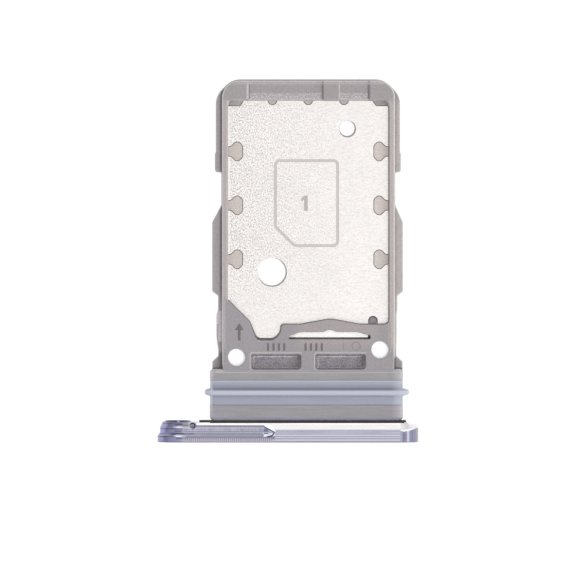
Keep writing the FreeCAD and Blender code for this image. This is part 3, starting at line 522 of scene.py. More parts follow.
def pad_tones(f, colour, right_half):
    """Pads that fill the plate's notches, the right ones paler as painted light and the corner ones darker
    as painted shade, and the one sunk round pad with its dark rim of painted shade.
    """
    across_pocket = f.between(f.x, POCKET_LEFT - 0.02, POCKET_RIGHT + 0.02)
    along_pocket = f.between(f.y, POCKET_NEAR, POCKET_FAR + 0.02)
    pads = f.times(f.between(f.height, 0.06, 0.08), across_pocket, along_pocket)
    far_pads = f.ramp(f.y, POCKET_FAR - 0.8, POCKET_FAR - 0.7)
    corner_pads = f.times(far_pads, f.ramp(f.math("ABSOLUTE", f.less(f.x, TRAY_MIDDLE)), 3.2, 3.3))
    # The right pads are lifted as painted light against the wall's shade; the corner pads darkened as
    # painted shade.
    pad_tone = f.mixed(right_half, (209, 200, 194), (228, 218, 212))
    pad_tone = f.layered(pad_tone, ((far_pads, (202, 197, 195)), (corner_pads, (180, 177, 174))))
    colour = f.mixed(pads, colour, pad_tone)
    sunk_pad = f.times(f.fall(f.height, 0.015, 0.03), f.between(f.y, POCKET_NEAR, POCKET_NEAR + 0.5),
                       f.between(f.x, POCKET_LEFT, POCKET_RIGHT))
    # Painted shade on the sunk pad's upper rim.
    sunk_rim = f.times(sunk_pad, f.ramp(f.away(*SUNK_PAD), 0.19, 0.21), f.ramp(f.y, 6.66, 6.70))
    return f.layered(colour, ((sunk_pad, (182, 174, 179)), (sunk_rim, (128, 118, 124))))


def bar_hole_tones(f, colour):
    """Painted light and shade at the lower right of the two holes in the near bar: a pale ring on the hole's
    edge and a dark ring just outside it.
    """
    for x, y in BAR_HOLES:
        lower_right = f.ramp(f.slant(x, y), 0.0, 0.4)
        from_hole = f.away(x, y)
        # Painted light on the hole's edge, painted shade just outside it.
        colour = f.layered(colour, (
            (f.times(f.between(from_hole, 0.44, 0.50, 0.015), lower_right), (214, 212, 224), 0.8),
            (f.times(f.between(from_hole, 0.505, 0.56, 0.015), lower_right), (138, 132, 138), 0.5),
        ))
    return colour


def moulded_plastic():
    """Warm grey glass-filled plastic with a fine spark-eroded grain.

    It is paler in the thin walls and on the pads and darker in the recesses and at the rails' feet, much of
    it painted light and shade; it is blue-grey beside the cap, and it sparkles on the coarse band of the far
    channels. Sloped faces and rims carry painted highlights, and the near walls painted shade.
    """
    f = Finish("tray_plastic", 0.5, specular=0.4)
    grain = f.noise(9, 2, 0.6)
    sparkle = f.noise(16, 1, 0.7)
    cloud = f.noise(0.45, 2)
    flow = f.noise(1.0, 2, 0.6, f.stretched(0.6, 12.0, 1.0))
    tilt = f.tilt()
    low = f.times(f.fall(f.height, 0.43, 0.45), f.ramp(f.y, NECK_BACK, NECK_BACK + 0.02))
    right_half = f.ramp(f.x, TRAY_MIDDLE - 2, TRAY_MIDDLE + 2)
    neck = f.fall(f.y, NECK_BACK + 0.06, NECK_BACK + 0.10)
    in_near_bar = f.times(f.between(f.y, NECK_BACK, NECK_BACK + 1.0), f.between(f.x, -2.2, 4.5))
    recess = f.times(f.between(f.height, 0.30, 0.42), in_near_bar)
    channel = f.times(f.between(f.height, 0.55, 0.64), f.ramp(f.y, POCKET_FAR - 0.1, POCKET_FAR - 0.08))
    coarse_band = f.times(channel, f.fall(f.y, 19.40, 19.42))

    colour = f.mixed(right_half, (160, 155, 159), (163, 157, 159))
    colour = f.mixed(f.ramp(f.y, POCKET_FAR + 0.1, POCKET_FAR + 0.12), colour, (165, 159, 160))
    colour = wall_tones(f, colour, low, right_half)
    colour = neck_tones(f, colour, low, neck, level=f.ramp(tilt, 0.5, 0.7))
    colour = recess_tones(f, colour, in_near_bar, recess)
    colour = channel_tones(f, colour, coarse_band, sparkle)
    colour = pad_tones(f, colour, right_half)
    colour = bar_hole_tones(f, colour)
    # Painted shade on the near walls of the slot and the relief, and a painted highlight on sloped faces.
    near_wall_shade = f.times(f.fall(tilt, 0.2, 0.3), f.between(f.y, 5.6, POCKET_NEAR + 1.45),
                        f.between(f.x, POCKET_LEFT + 0.03, POCKET_RIGHT))
    colour = f.layered(colour, (
        (f.between(tilt, 0.35, 0.9, 0.05), (215, 210, 212), 0.3),
        (near_wall_shade, (124, 118, 122)),
    ))
    # Painted shade on the relief's near wall.
    colour = f.painted(colour, ((-1.72, -0.88, 5.70, 5.83, (84, 78, 84)),))

    blotch = f.spread(f.noise(2.5, 2, 0.6), -0.12, 0.12)
    speckle = f.times(f.math("ADD", f.spread(sparkle, -0.38, 0.38), blotch), recess)
    amount = f.ramp(neck, 0.0, 1.0, 0.12, 0.05)
    shade = f.math("MULTIPLY_ADD", f.ramp(grain, 0.25, 0.75, -1.0, 1.0), amount, f.spread(cloud, 0.98, 1.02))
    streaks = f.times(f.spread(flow, -0.08, 0.08), neck)
    colour = f.scaled(colour, f.math("ADD", f.math("ADD", shade, streaks), speckle))
    coarse = f.math("MAXIMUM", recess, coarse_band)
    relief = f.times(grain, f.ramp(coarse, 0.0, 1.0, 0.5, 1.6))
    return f.finish(colour, f.spread(grain, 0.46, 0.6), relief, 0.012, edge=0.03)


def rolled_steel():
    """Bright rolled sheet: fine dark pits, denser at the left, faint rolling streaks at the right, and
    painted highlights on its edges by the walls, under the near bar and on its holes' upper left rims.
    """
    f = Finish("plate_steel", 0.3, metallic=1.0)
    left = f.times(f.ramp(f.x, POCKET_LEFT, POCKET_RIGHT - 1.5, 1.0, 0.15), f.ramp(f.y, 6.3, 10.5, 0.4, 1.0))
    pits = f.noise(1.0, 1, 0.7, f.stretched(19, 12, 12))
    weave = f.noise(1.0, 1, 0.6, f.stretched(7, 9, 9))
    streaks = f.noise(1.0, 2, 0.6, f.stretched(4.5, 17, 4))
    cloud = f.noise(0.4, 2)
    groove = f.between(f.height, 0.045, 0.070, 0.002)
    # Painted highlights on the sheet's edges by the pocket's left and far walls, and under the near bar.
    edges = f.math("MAXIMUM", f.fall(f.x, POCKET_LEFT + 0.02, POCKET_LEFT + 0.12),
                   f.ramp(f.y, POCKET_FAR - 0.14, POCKET_FAR - 0.04, 0.0, 0.5))
    under_bar = f.times(f.fall(f.y, POCKET_NEAR - 0.25, POCKET_NEAR - 0.10), f.ramp(f.x, 0.3, 0.5))
    # Painted highlights on the holes' upper left rims, in duller metal so that they stay bright.
    rim_highlights = []
    for x, y, radius in PLATE_HOLES:
        beside_hole = f.fall(f.away(x, y), radius + 0.03, radius + 0.06)
        rim_highlights.append(f.times(beside_hole, f.fall(f.slant(x, y), -radius * 0.6, 0.0)))
    hole_highlights = f.math("MAXIMUM", *rim_highlights)
    colour = f.layered((239, 235, 232), (
        (f.times(f.fall(pits, 0.36, 0.52), left), (120, 113, 113), 0.72),
        (f.fall(streaks, 0.35, 0.55), (206, 200, 197), 0.38),
        (f.fall(weave, 0.36, 0.48), (180, 172, 170), 0.16),
        (f.times(f.ramp(pits, 0.55, 0.7), left), (255, 254, 252)),
        (edges, (255, 252, 250), 0.8),
        (under_bar, (255, 252, 250), 0.7),
        (groove, (205, 198, 195)),
        (hole_highlights, (255, 254, 252)),
    ))
    f.put(f.surface.inputs["Metallic"], f.ramp(hole_highlights, 0.0, 1.0, 1.0, 0.1))
    colour = f.scaled(colour, f.spread(cloud, 0.98, 1.02))
    rough = f.ramp(f.math("ADD", pits, f.times(groove, 0.6)), 0.3, 1.2, 0.26, 0.5)
    relief = f.math("ADD", f.times(pits, left), f.times(streaks, 0.4))
    return f.finish(colour, rough, relief, 0.004, edge=0.015)


def soft_silicone():
    """Blue-grey satin rubber with painted light and shade: the far band shades to dark beside the rib, the
    rib is a pale painted highlight, the far edge, the ends and the left side carry painted highlights, and
    dark lines of painted shade run beside the rib.
    """
    f = Finish("seal_silicone", 0.42, specular=0.45)
    haze = f.noise(1.4, 3, 0.6, f.stretched(0.25, 2.0, 1.0))
    dust = f.noise(18, 2, 0.6)
    colour = f.mixed(f.spread(haze), (157, 161, 177), (165, 168, 184))
    # Painted shade on the far band towards the rib.
    far_band = f.ramp(f.y, SEAL_RIB + 0.14, SEAL_FAR - 0.14)
    shaded = f.mixed(far_band, (144, 145, 161), (172, 176, 191))
    colour = f.mixed(f.ramp(f.y, SEAL_RIB + 0.10, SEAL_RIB + 0.14), colour, shaded)
    ends = f.math("MAXIMUM", f.ramp(f.x, 5.75, 6.10), f.fall(f.x, -4.25, -4.12))
    # Painted highlights on the far edge, the rib, the ends and the left side, and painted shade beside the
    # rib.
    colour = f.layered(colour, (
        (f.ramp(f.y, SEAL_FAR - 0.11, SEAL_FAR - 0.06), (190, 192, 204)),
        (f.between(f.y, SEAL_RIB - 0.19, SEAL_RIB + 0.09, 0.03), (194, 197, 210)),
        (f.between(f.y, SEAL_RIB + 0.10, SEAL_RIB + 0.17, 0.02), (148, 149, 164)),
        (f.between(f.y, SEAL_RIB - 0.29, SEAL_RIB - 0.20, 0.02), (150, 154, 170)),
        (ends, (196, 201, 214), 0.6),
        (f.between(f.x, -4.27, -4.19, 0.015), (204, 204, 220)),
    ))
    colour = f.scaled(colour, f.spread(dust, 0.97, 1.03))
    return f.finish(colour, f.spread(haze, 0.36, 0.5), dust, 0.003)


def black_film():
    """Matt black adhesive film, a little brown at its cut edge."""
    f = Finish("film_black", 0.6, specular=0.3)
    fibre = f.noise(9, 3, 0.6, f.stretched(0.4, 1.0, 2.0))
    colour = f.mixed(f.spread(fibre), (57, 50, 55), (82, 71, 73))
    return f.finish(colour, f.spread(fibre, 0.5, 0.7), fibre, 0.004)


def ridge_tones(f, top):
    """Ridges that the cutter left along the right part of the top, as bands of painted light and shade."""
    ridges = f.math("COSINE", f.times(f.less(f.y, RIDGE_LINES[0]), math.tau / RIDGE_PITCH))
    right_part = f.ramp(f.x, -1.2, -0.6)
    ridge_dark = f.mixed(f.ramp(f.y, 0.37, 0.39), (138, 136, 151), (168, 167, 183))
    ridge_tone = f.mixed(f.ramp(ridges, -0.3, 0.3), (201, 200, 215), ridge_dark)
    top = f.mixed(f.times(f.between(f.y, 0.15, 0.46), right_part), top, ridge_tone)
    return f.mixed(f.times(f.between(f.y, 0.06, 0.13), right_part), top, (188, 187, 202))


def step_tones(f, top, chatter):
    """Dark lines, flutes and mottle on the sunk step, and a line along the front edge. The dark lines and
    the front line are painted shade along edges, the step's flank a painted highlight, and the flutes bands
    of painted light and shade.
    """
    step = f.times(f.fall(f.x, -0.75, -0.70), f.ramp(f.x, -5.9, -5.7))
    # Painted shade in dark lines along the step's edges, and a painted highlight on its flank.
    shade_lines = f.times(step, f.lines(f.y, (0.930, 0.878, 0.711, 0.335, 0.255, 0.200), SHADE_LINE_WIDTH))
    top = f.layered(top, (
        (shade_lines, (118, 117, 136), 0.85),
        (f.times(step, f.between(f.y, 0.375, 0.55, 0.01)), (203, 203, 222)),
    ))
    # Flutes as bands of painted light and shade.
    flutes = f.ramp(f.math("COSINE", f.times(f.x, math.tau / FLUTE_PITCH)), -0.4, 0.4)
    flute_tone = f.mixed(flutes, (142, 134, 150), (190, 183, 198))
    fluted = f.times(f.between(f.y, 0.06, 0.24, 0.02), f.between(f.x, -5.6, -0.9, 0.2))
    top = f.mixed(f.times(fluted, 0.75), top, flute_tone)
    mottle = f.times(step, f.ramp(chatter, 0.45, 0.65), f.between(f.y, 0.56, 0.86, 0.02))
    top = f.layered(top, (
        (mottle, (188, 184, 200), 0.6),
        (f.times(step, f.lines(f.y, (0.600, 0.275), SHADE_LINE_WIDTH)), (132, 128, 144)),
    ))
    top = f.scaled(top, f.ramp(f.x, -0.80, -0.75, 0.965, 1.0))
    # Painted shade along the front edge.
    front_line = f.mixed(f.ramp(f.x, -0.80, -0.75), (166, 160, 172), (130, 124, 134))
    return f.mixed(f.between(f.y, 0.028, 0.062, 0.006), top, front_line)


def boss_tones(f, top):
    """Deeper lilac boss round the pin's hole, with dark lines and dark patches of painted shade along its
    steps, painted highlights, and bright painted glints.
    """
    boss = f.fall(f.x, -6.05, -5.75)
    lilac = f.mixed(f.ramp(f.x, -6.55, -6.30), (158, 157, 194), (143, 141, 173))
    shade_lines = f.lines(f.y, (1.05, 0.76, 0.48, 0.32, 0.03), SHADE_LINE_WIDTH)
    top = f.mixed(f.times(boss, shade_lines), f.mixed(boss, top, lilac), (120, 119, 147))
    # Painted shade on the boss's back edge.
    top = f.painted(top, [(*span, 1.12, 1.22, (62, 66, 88)) for span in ((-6.77, -6.16), (-5.99, -5.44))])
    # Painted shade and painted highlights along the boss's steps.
    top = f.painted(top, (
        (-6.27, -5.83, 0.97, 1.03, (98, 96, 116)), (-6.52, -5.83, 0.73, 0.78, (98, 96, 116)),
        (-6.30, -5.88, 0.59, 0.66, (94, 92, 112)), (-7.05, -5.20, 0.46, 0.50, (108, 107, 130)),
        (-6.20, -5.85, 0.19, 0.25, (82, 80, 102)), (-7.10, -6.70, 0.30, 0.34, (106, 106, 132)),
        (-5.90, -5.47, 0.81, 0.89, (206, 207, 222)), (-5.86, -5.66, 0.33, 0.43, (196, 196, 212)),
    ), soft=0.035)
    glints = ((-6.44, -6.12, -5.80, 0.853, 0.050), (-6.38, -6.18, -5.80, 0.382, 0.062))
    for start, full, end, y, half in glints:
        swell = f.times(f.ramp(f.x, start, full), f.fall(f.x, end - 0.14, end))
        from_line = f.math("ABSOLUTE", f.less(f.y, y))
        glint = f.ramp(f.less(f.times(swell, half), from_line), -0.012, 0.012)
        top = f.mixed(f.times(glint, f.ramp(swell, 0.0, 0.25)), top, (234, 234, 245))
    return top


def step_end_tones(f, top):
    """Round end of the step in painted light and shade: a dark rim, darker to the lower right, and the
    bright point, a painted highlight, that a slanted dark line parts from it.
    """
    # Painted shade and painted highlights on the step's round end.
    top = f.painted(top, (
        (-1.33, -1.10, 0.87, 0.92, (70, 70, 90)), (-1.33, -1.10, 0.58, 0.79, (122, 127, 152)),
        (-1.33, -1.08, 0.66, 0.69, (88, 92, 116)), (-1.33, -1.08, 0.48, 0.53, (72, 72, 90)),
        (-1.34, -1.08, 0.33, 0.42, (244, 243, 248)), (-1.06, -0.86, 0.52, 0.84, (166, 160, 178)),
        (-0.95, -0.86, 0.43, 0.50, (232, 230, 240)),
    ))
    end_x, end_y = STEP_END
    from_end = f.away(end_x, end_y)
    # Painted shade on the rim, darker to the lower right.
    rim = f.times(f.between(from_end, 0.285, 0.35, 0.015), f.ramp(f.x, end_x - 0.16, end_x - 0.06))
    rim_tone = f.mixed(f.ramp(f.slant(end_x, end_y), -0.1, 0.4), (112, 112, 132), (64, 64, 84))
    top = f.mixed(rim, top, rim_tone)
    beyond = f.math("ADD", f.times(f.x, 0.478), f.math("MULTIPLY_ADD", f.y, 0.879, -0.175))
    cut_off = f.times(f.ramp(f.x, -1.36, -1.32), f.ramp(f.y, 0.58, 0.60), f.fall(from_end, 0.36, 0.40))
    # Painted highlight of the bright bevel beyond a line of painted shade.
    return f.layered(top, (
        (f.times(cut_off, f.ramp(beyond, -0.01, 0.01)), (255, 253, 252)),
        (f.times(cut_off, f.between(beyond, -0.055, 0.0, 0.012)), (62, 62, 84)),
    ))


def reflection_bands(f):
    """Bands of painted reflection on the round right end: (start, tone) each, from left to right."""
    bands = (160, 164, 184)
    for start, tone in (
        (6.36, (130, 126, 148)), (6.46, (140, 136, 158)), (6.60, (200, 200, 216)), (6.735, (136, 142, 166)),
        (6.90, (120, 124, 150)), (6.95, (152, 146, 172)), (7.14, (168, 160, 166)),
    ):
        bands = f.mixed(f.ramp(f.x, start - 0.02, start + 0.02), bands, tone)
    # Dark lines of painted shade across the bands, in line with the ridges.
    across = f.times(f.between(f.x, 6.38, 6.62), f.lines(f.y, RIDGE_LINES, SHADE_LINE_WIDTH))
    return f.mixed(f.times(across, 0.5), bands, (112, 106, 128))


def hook_tones(f, colour):
    """Hook at the boss's right end in painted shade: a dark line bent round a shaded round."""
    x, y = HOOK
    from_hook = f.away(x, y)
    inside = f.mixed(f.ramp(f.y, y - 0.08, y + 0.02), (108, 107, 130), (158, 157, 178))
    colour = f.mixed(f.fall(from_hook, 0.13, 0.15), colour, inside)
    rising = f.math("MULTIPLY_ADD", f.less(f.y, y), 0.7, f.less(f.x, x))
    line = f.times(f.between(from_hook, 0.105, 0.178, 0.015), f.ramp(rising, -0.11, -0.03))
    return f.mixed(line, colour, (64, 64, 88))


def milled_aluminium():
    """Lilac-grey anodised aluminium.

    Milled lines run along the top, the bevel behind it is bright, partly as a painted highlight, the pin
    hole's end is a deeper lilac with painted shade and glints, the right end shows bands of painted
    reflection, and the front is dark with hairline brushing. The back edge beside the film is painted shade.
    """
    f = Finish("cap_aluminium", 0.3, metallic=1.0)
    lines = f.noise(1.0, 2, 0.6, f.stretched(0.5, 17, 1.0))
    hair = f.noise(5.0, 4, 0.7, f.stretched(0.10, 1.0, 9.0))
    chatter = f.noise(1.0, 2, 0.6, f.stretched(9.0, 2.0, 1.0))
    top = f.mixed(f.spread(lines), (155, 155, 171), (182, 182, 199))
    top = f.mixed(f.times(f.ramp(chatter, 0.5, 0.7), 0.25), top, (172, 160, 176))
    top = ridge_tones(f, top)
    top = step_tones(f, top, chatter)
    top = boss_tones(f, top)
    top = step_end_tones(f, top)
    top = f.mixed(f.ramp(f.x, 6.20, 6.24), top, reflection_bands(f))

    # The bevel's bright tone is partly a painted highlight.
    leaning = f.math("MAXIMUM", f.between(f.tilt(), 0.2, 0.9, 0.02), f.ramp(f.x, 6.74, 6.80))
    near_edge = f.math("ADD", f.ramp(f.x, 6.22, 6.42, 0.66, 0.60), f.ramp(f.x, 6.42, 6.73, 0.0, 0.05))
    above = f.less(f.y, f.math("ADD", near_edge, f.ramp(f.x, 6.73, 7.20, 0.0, 0.155)))
    beyond_edge = f.ramp(above, -0.01, 0.01)
    bevel = f.times(f.ramp(f.y, 0.655, 0.67), f.fall(f.y, 1.115, 1.13), leaning, f.ramp(f.x, -5.6, -5.5),
                    f.math("MAXIMUM", beyond_edge, f.fall(f.x, 6.42, 6.5)))
    bevel_highlight = f.mixed(f.ramp(f.y, 0.99, 1.02), (236, 234, 234), (255, 253, 252))
    # Painted highlight on the right end's top, in duller metal so that it stays bright.
    end_top = f.times(f.ramp(f.x, 6.20, 6.30), f.ramp(f.height, 0.7, 0.75), f.fall(f.y, 1.09, 1.10))
    colour = f.layered(f.mixed(bevel, top, bevel_highlight), (
        (f.times(end_top, beyond_edge), (244, 243, 246)),
        (f.times(end_top, f.ramp(above, 0.06, 0.09)), (230, 228, 230)),
    ))
    colour = hook_tones(f, colour)
    # Painted shade on the back edge beside the film.
    back_edge_shade = f.times(f.ramp(f.y, CAP_FACE - 0.045, CAP_FACE - 0.035),
                        f.between(f.x, FILM_LOW[0] + 0.6, FILM_HIGH[0] - 0.1))
    colour = f.mixed(back_edge_shade, colour, (96, 78, 78))
    front = f.fall(f.y, 0.02, 0.05)
    slate = f.mixed(f.spread(hair), (84, 85, 104), (122, 124, 144))
    colour = f.mixed(front, colour, slate)
    f.put(f.surface.inputs["Metallic"], f.ramp(end_top, 0.0, 1.0, 1.0, 0.35))
    rough = f.math("ADD", f.spread(lines, 0.24, 0.36), f.times(bevel, -0.1))
    relief = f.mixed(front, f.mixed(bevel, lines, (0.5, 0.5, 0.5, 1)), hair)
    return f.finish(colour, rough, relief, 0.004, edge=0.02)


def toned(name, dark, light, roughness, metallic=0.0):
    """Plain finish with a fine grain between two tones, for marks, shadow seams and painted crescents in
    holes.
    """
    f = Finish(name, roughness, metallic=metallic, specular=0.4)
    grain = f.noise(14, 2, 0.6)
    colour = f.mixed(f.spread(grain), dark, light)
    return f.finish(colour, f.spread(grain, roughness - 0.06, roughness + 0.06), grain, 0.003)


PLASTIC = moulded_plastic()
STEEL = rolled_steel()
SILICONE = soft_silicone()
FILM = black_film()
ALUMINIUM = milled_aluminium()
ETCHED = toned("etched_steel", (186, 178, 175), (204, 197, 194), 0.55, metallic=0.6)
# Marks and faint marks are darker than the plastic: painted shade of their moulded strokes.
MARKS = toned("moulded_marks", (108, 102, 106), (122, 115, 119), 0.45)
FAINT_MARKS = toned("faint_marks", (146, 140, 143), (154, 148, 151), 0.5)
# Painted shade in the plate's holes, painted shadow at the pads' seams, and pale painted light in the near
# bar's holes.
HOLE_SHADE = toned("hole_shade", (150, 143, 142), (170, 162, 160), 0.6)
SHADOW_SEAMS = toned("shadow_seams", (104, 97, 97), (124, 116, 115), 0.6)
PAINTED_HOLE_LIGHT = toned("painted_hole_light", (240, 238, 247), (250, 248, 255), 0.5)

for node, material in (
    ("tray_frame", PLASTIC), ("card_plate", STEEL), ("bond_film", FILM), ("end_cap", ALUMINIUM),
):
    nodes[node].material_slots[0].material = material


# Seal

SEAL_BAND = -0.01
SEAL_TIP = SEAL_HIGH[2] - NECK_TOP
SEAL_TIP_LEFT = 1.07
SEAL_TIP_RIGHT = 1.24


def seal_section():
    """Closed section as (outward, along Y): inner face, two flat bands and one round rib."""
    foot, tip = 0.22, 0.12
    corners = [
        (-GROOVE_DEPTH, SEAL_FAR), (SEAL_BAND, SEAL_FAR), (SEAL_BAND, SEAL_RIB + foot),
        (SEAL_TIP, SEAL_RIB + tip), (SEAL_TIP, SEAL_RIB - tip), (SEAL_BAND, SEAL_RIB - foot),
        (SEAL_BAND, SEAL_NEAR), (-GROOVE_DEPTH, SEAL_NEAR),
    ]
    return rounded(corners, [0, 0.05, 0.05, 0.11, 0.11, 0.05, 0.05, 0], 9)


def seal_ring():
    """Seal: its section carried round the neck's rounded outline.

    A point is the outline's point, plus the outline's outward vector times the section's
    outward distance, at the section's place along Y. Where the section stands out of the neck,
    its distance grows towards the two ends, because the rib is stretched less there.
    """
    corners = [
        (NECK_LEFT, -NECK_TOP), (NECK_RIGHT, -NECK_TOP), (NECK_RIGHT, NECK_TOP), (NECK_LEFT, NECK_TOP),
    ]
    around = rounded(corners, [NECK_EDGE_RADIUS] * 4, 13)
    out = outward_of(around)
    section = seal_section()
    at_right = (SEAL_TIP_RIGHT - 1) * np.maximum(out[:, :1], 0)
    at_left = (SEAL_TIP_LEFT - 1) * np.maximum(-out[:, :1], 0)
    swell = 1 + at_right + at_left
    reach = np.where(section[:, 0] > 0, section[:, 0] * swell, section[:, 0])
    flat = around[:, None, :] + out[:, None, :] * reach[:, :, None]
    along = np.broadcast_to(section[None, :, 1:], flat.shape[:2] + (1,))
    grid = np.concatenate([flat[..., :1], along, flat[..., 1:]], 2)
    faces = grid_faces(len(around), len(section), True, True)
    piece = mesh_piece("soft_seal", grid.reshape(-1, 3), faces, SILICONE, smooth=True)
    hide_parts("seal_ring")


seal_ring()


# Marks

NUMERAL_PLACE = (1.0, 13.29)
NUMERAL_HEIGHT = 0.86
NUMERAL_LINE = 0.21
NUMERAL_RISE = 0.003
ARROW_PLACE = (-2.70, 6.14)
BAR_GROUPS = (-1.10, 0.98)
BAR_PITCH = 0.30
BAR_HALF = 0.16
BAR_WIDTH = 0.115
BAR_Y = 5.294
RING_PLACE = (3.79, 5.34)
RING_RADIUS = 0.22
RING_WIDTH = 0.06
RING_BAR_X = 3.10
MARK_RISE = 0.012
FAINT_RISE = 0.008


def flat_mark(name, outline, base, rise, finish, side=1):
    """Low flat mark: its outline at the foot and again at the top, with walls and two lids.

    An outline drawn clockwise is turned round. Side is 1 on the upper face, -1 on the underside.
    """
    outline = np.asarray(outline, float)
    following = np.roll(outline, -1, 0)
    area = (outline[:, 0] * following[:, 1] - outline[:, 1] * following[:, 0]).sum()
    if area < 0:
        outline = outline[::-1]
    count = len(outline)
    levels = np.repeat([base - 0.02, base + rise], count)[:, None]
    points = np.concatenate([np.tile(outline, (2, 1)), levels], 1) * (1, 1, side)
    lower = np.arange(count)
    ahead = np.roll(lower, -1)
    walls = np.stack([lower, ahead, ahead + count, lower + count], 1)
    faces = [*walls.tolist(), (lower + count).tolist(), lower[::-1].tolist()]
    mesh_piece(name, points, [face[::side] for face in faces], finish)


def numeral_one():
    """Numeral one on the upper face: a stem with a slanted flag."""
    half = NUMERAL_LINE / 2
    top = NUMERAL_HEIGHT / 2
    shape = np.array([
        (half, -top), (half, top), (-half + 0.03, top), (-half - 0.16, top - 0.15),
        (-half - 0.16, top - 0.34), (-half, top - 0.24), (-half, -top),
    ])
    flat_mark("numeral_one", shape + NUMERAL_PLACE, PLATE_TOP, NUMERAL_RISE, ETCHED)


def numeral_two():
    """Numeral two on the underside, reading from below: a ring's part, a slanted run and a foot."""
    top = NUMERAL_HEIGHT / 2
    middle, half = 0.215, 0.075
    turn = np.linspace(math.radians(165), math.radians(-38), 19)
    ring = np.stack([np.cos(turn), np.sin(turn)], 1)
    centre = (0, top - middle - half)
    outer = ring * (middle + half) + centre
    inner = ring[::-1] * (middle - half) + centre
    side = middle + half
    foot = [(-0.07, -top + 0.15), (side, -top + 0.15), (side, -top), (-side, -top), (-side, -top + 0.14)]
    shape = np.concatenate([outer, foot, inner]) * (-1, 1)
    flat_mark("numeral_two", shape + NUMERAL_PLACE, PLATE_TOP, NUMERAL_RISE, ETCHED, side=-1)


def arrow_mark():
    """Raised arrow beside the cut corner: it points the way the tray goes in."""
    shaft, head, end, shoulder = 0.07, 0.24, 0.48, 0.10
    shape = np.array([
        (-shaft, -end), (shaft, -end), (shaft, shoulder), (head, shoulder), (0, end), (-head, shoulder),
        (-shaft, shoulder),
    ])
    flat_mark("arrow_mark", shape + ARROW_PLACE, FRAME_TOP, MARK_RISE, MARKS)


def bar_marks():
    """Two groups of four short upright bars in the near bar."""
    places = [group + BAR_PITCH * number for group in BAR_GROUPS for number in range(4)]
    bars = [[(x, BAR_Y - BAR_HALF), (x, BAR_Y), (x, BAR_Y + BAR_HALF)] for x in places]
    stroked_piece("bar_marks", bars, BAR_WIDTH, FRAME_TOP, MARK_RISE, MARKS)


def ring_mark():
    """Faint bar and ring of the moulding tool: a circle about the ring's middle, all but closed."""
    gap = 0.06
    turn = np.linspace(gap, math.tau - gap, 33)
    ring = RING_PLACE + RING_RADIUS * np.stack([np.cos(turn), np.sin(turn)], 1)
    bar = [(RING_BAR_X, RING_PLACE[1] + step) for step in (-BAR_HALF, 0.0, BAR_HALF)]
    stroked_piece("ring_mark", [ring, bar], RING_WIDTH, FRAME_TOP, FAINT_RISE, FAINT_MARKS)


numeral_one()
numeral_two()
arrow_mark()
bar_marks()
ring_mark()


# Painted shadow seams round the pads, and painted crescents of light and shade in the holes

PAD_PITCH = 3.00
PAD_FROM_NEAR = 3.57
END_PAD_PITCH = 1.99
END_PAD_RADIUS = 0.25
END_PAD_REACH = 0.21
CORNER_PAD_END = 0.67
CORNER_PAD_LEAN = 0.34
CORNER_PAD_REACH = 0.27
CORNER_PAD_DEPTH = 0.495
SEAM_START = 0.03
SEAM_WIDTH = 0.045
SEAM_RISE = 0.003
# Sizes of the painted crescents of light and shade in the holes.
CRESCENT_OVERLAP = 0.003
CRESCENT_THINNEST = 0.002
BAR_CRESCENT_WIDTH = 0.10
BAR_CRESCENT_LEVELS = (0.62, 0.74)
PLATE_CRESCENT_WIDTHS = (0.05, 0.06)
PLATE_CRESCENT_LEVELS = (-0.03, 0.03)


def side_pad_seam(side_x, inward, middle):
    """Open outline of a keyhole pad: out along its neck, round the head, and back."""
    steps = np.array([(SEAM_START, 0.27), (0.15, 0.27), (0.40, 0.525), (0.60, 0.525), (0.80, 0.325)])
    reach = np.concatenate([steps[:, 0], steps[::-1, 0]])
    half = np.concatenate([-steps[:, 1], steps[::-1, 1]])
    corners = np.stack([side_x + inward * reach, middle + half], 1)
    return rounded(corners, [0, 0.20, 0.21, 0.21, 0.20, 0.20, 0.21, 0.21, 0.20, 0], 7)


def end_pad_seam(middle):
    """Half circle of a pad at the pocket's far wall."""
    turn = np.linspace(math.radians(190), math.radians(350), 17)
    round_y = POCKET_FAR - END_PAD_REACH + END_PAD_RADIUS
    return np.stack([middle + END_PAD_RADIUS * np.cos(turn), round_y + END_PAD_RADIUS * np.sin(turn)], 1)


def corner_pad_seam(side_x, inward):
    """Near side of a pad in a far corner: straight along the pocket's end, then up its leaning end."""
    near = POCKET_FAR - CORNER_PAD_REACH
    lean = CORNER_PAD_LEAN * (CORNER_PAD_REACH - SEAM_START) / CORNER_PAD_DEPTH
    steps = ((SEAM_START, near), (CORNER_PAD_END, near), (CORNER_PAD_END + lean, POCKET_FAR - SEAM_START))
    corners = [(side_x + inward * reach, y) for reach, y in steps]
    return rounded(corners, [0, 0.10, 0], 7)


def pad_seams():
    """Thin dark seams on both faces, where the steel meets the pads: painted shadow of the gap between them.
    """
    seams = [end_pad_seam(TRAY_MIDDLE + number * END_PAD_PITCH) for number in (-1, 0, 1)]
    for side_x, inward in ((POCKET_LEFT, 1), (POCKET_RIGHT, -1)):
        seams.append(corner_pad_seam(side_x, inward))
        for number in range(3):
            middle = POCKET_NEAR + PAD_FROM_NEAR + number * PAD_PITCH
            seams.append(side_pad_seam(side_x, inward, middle))
    for name, side in (("upper_pad_seams", 1), ("lower_pad_seams", -1)):
        stroked_piece(
            name, seams, SEAM_WIDTH, PLATE_TOP, SEAM_RISE, SHADOW_SEAMS,
            edge=0.001, sunk=0.01, side=side,
        )


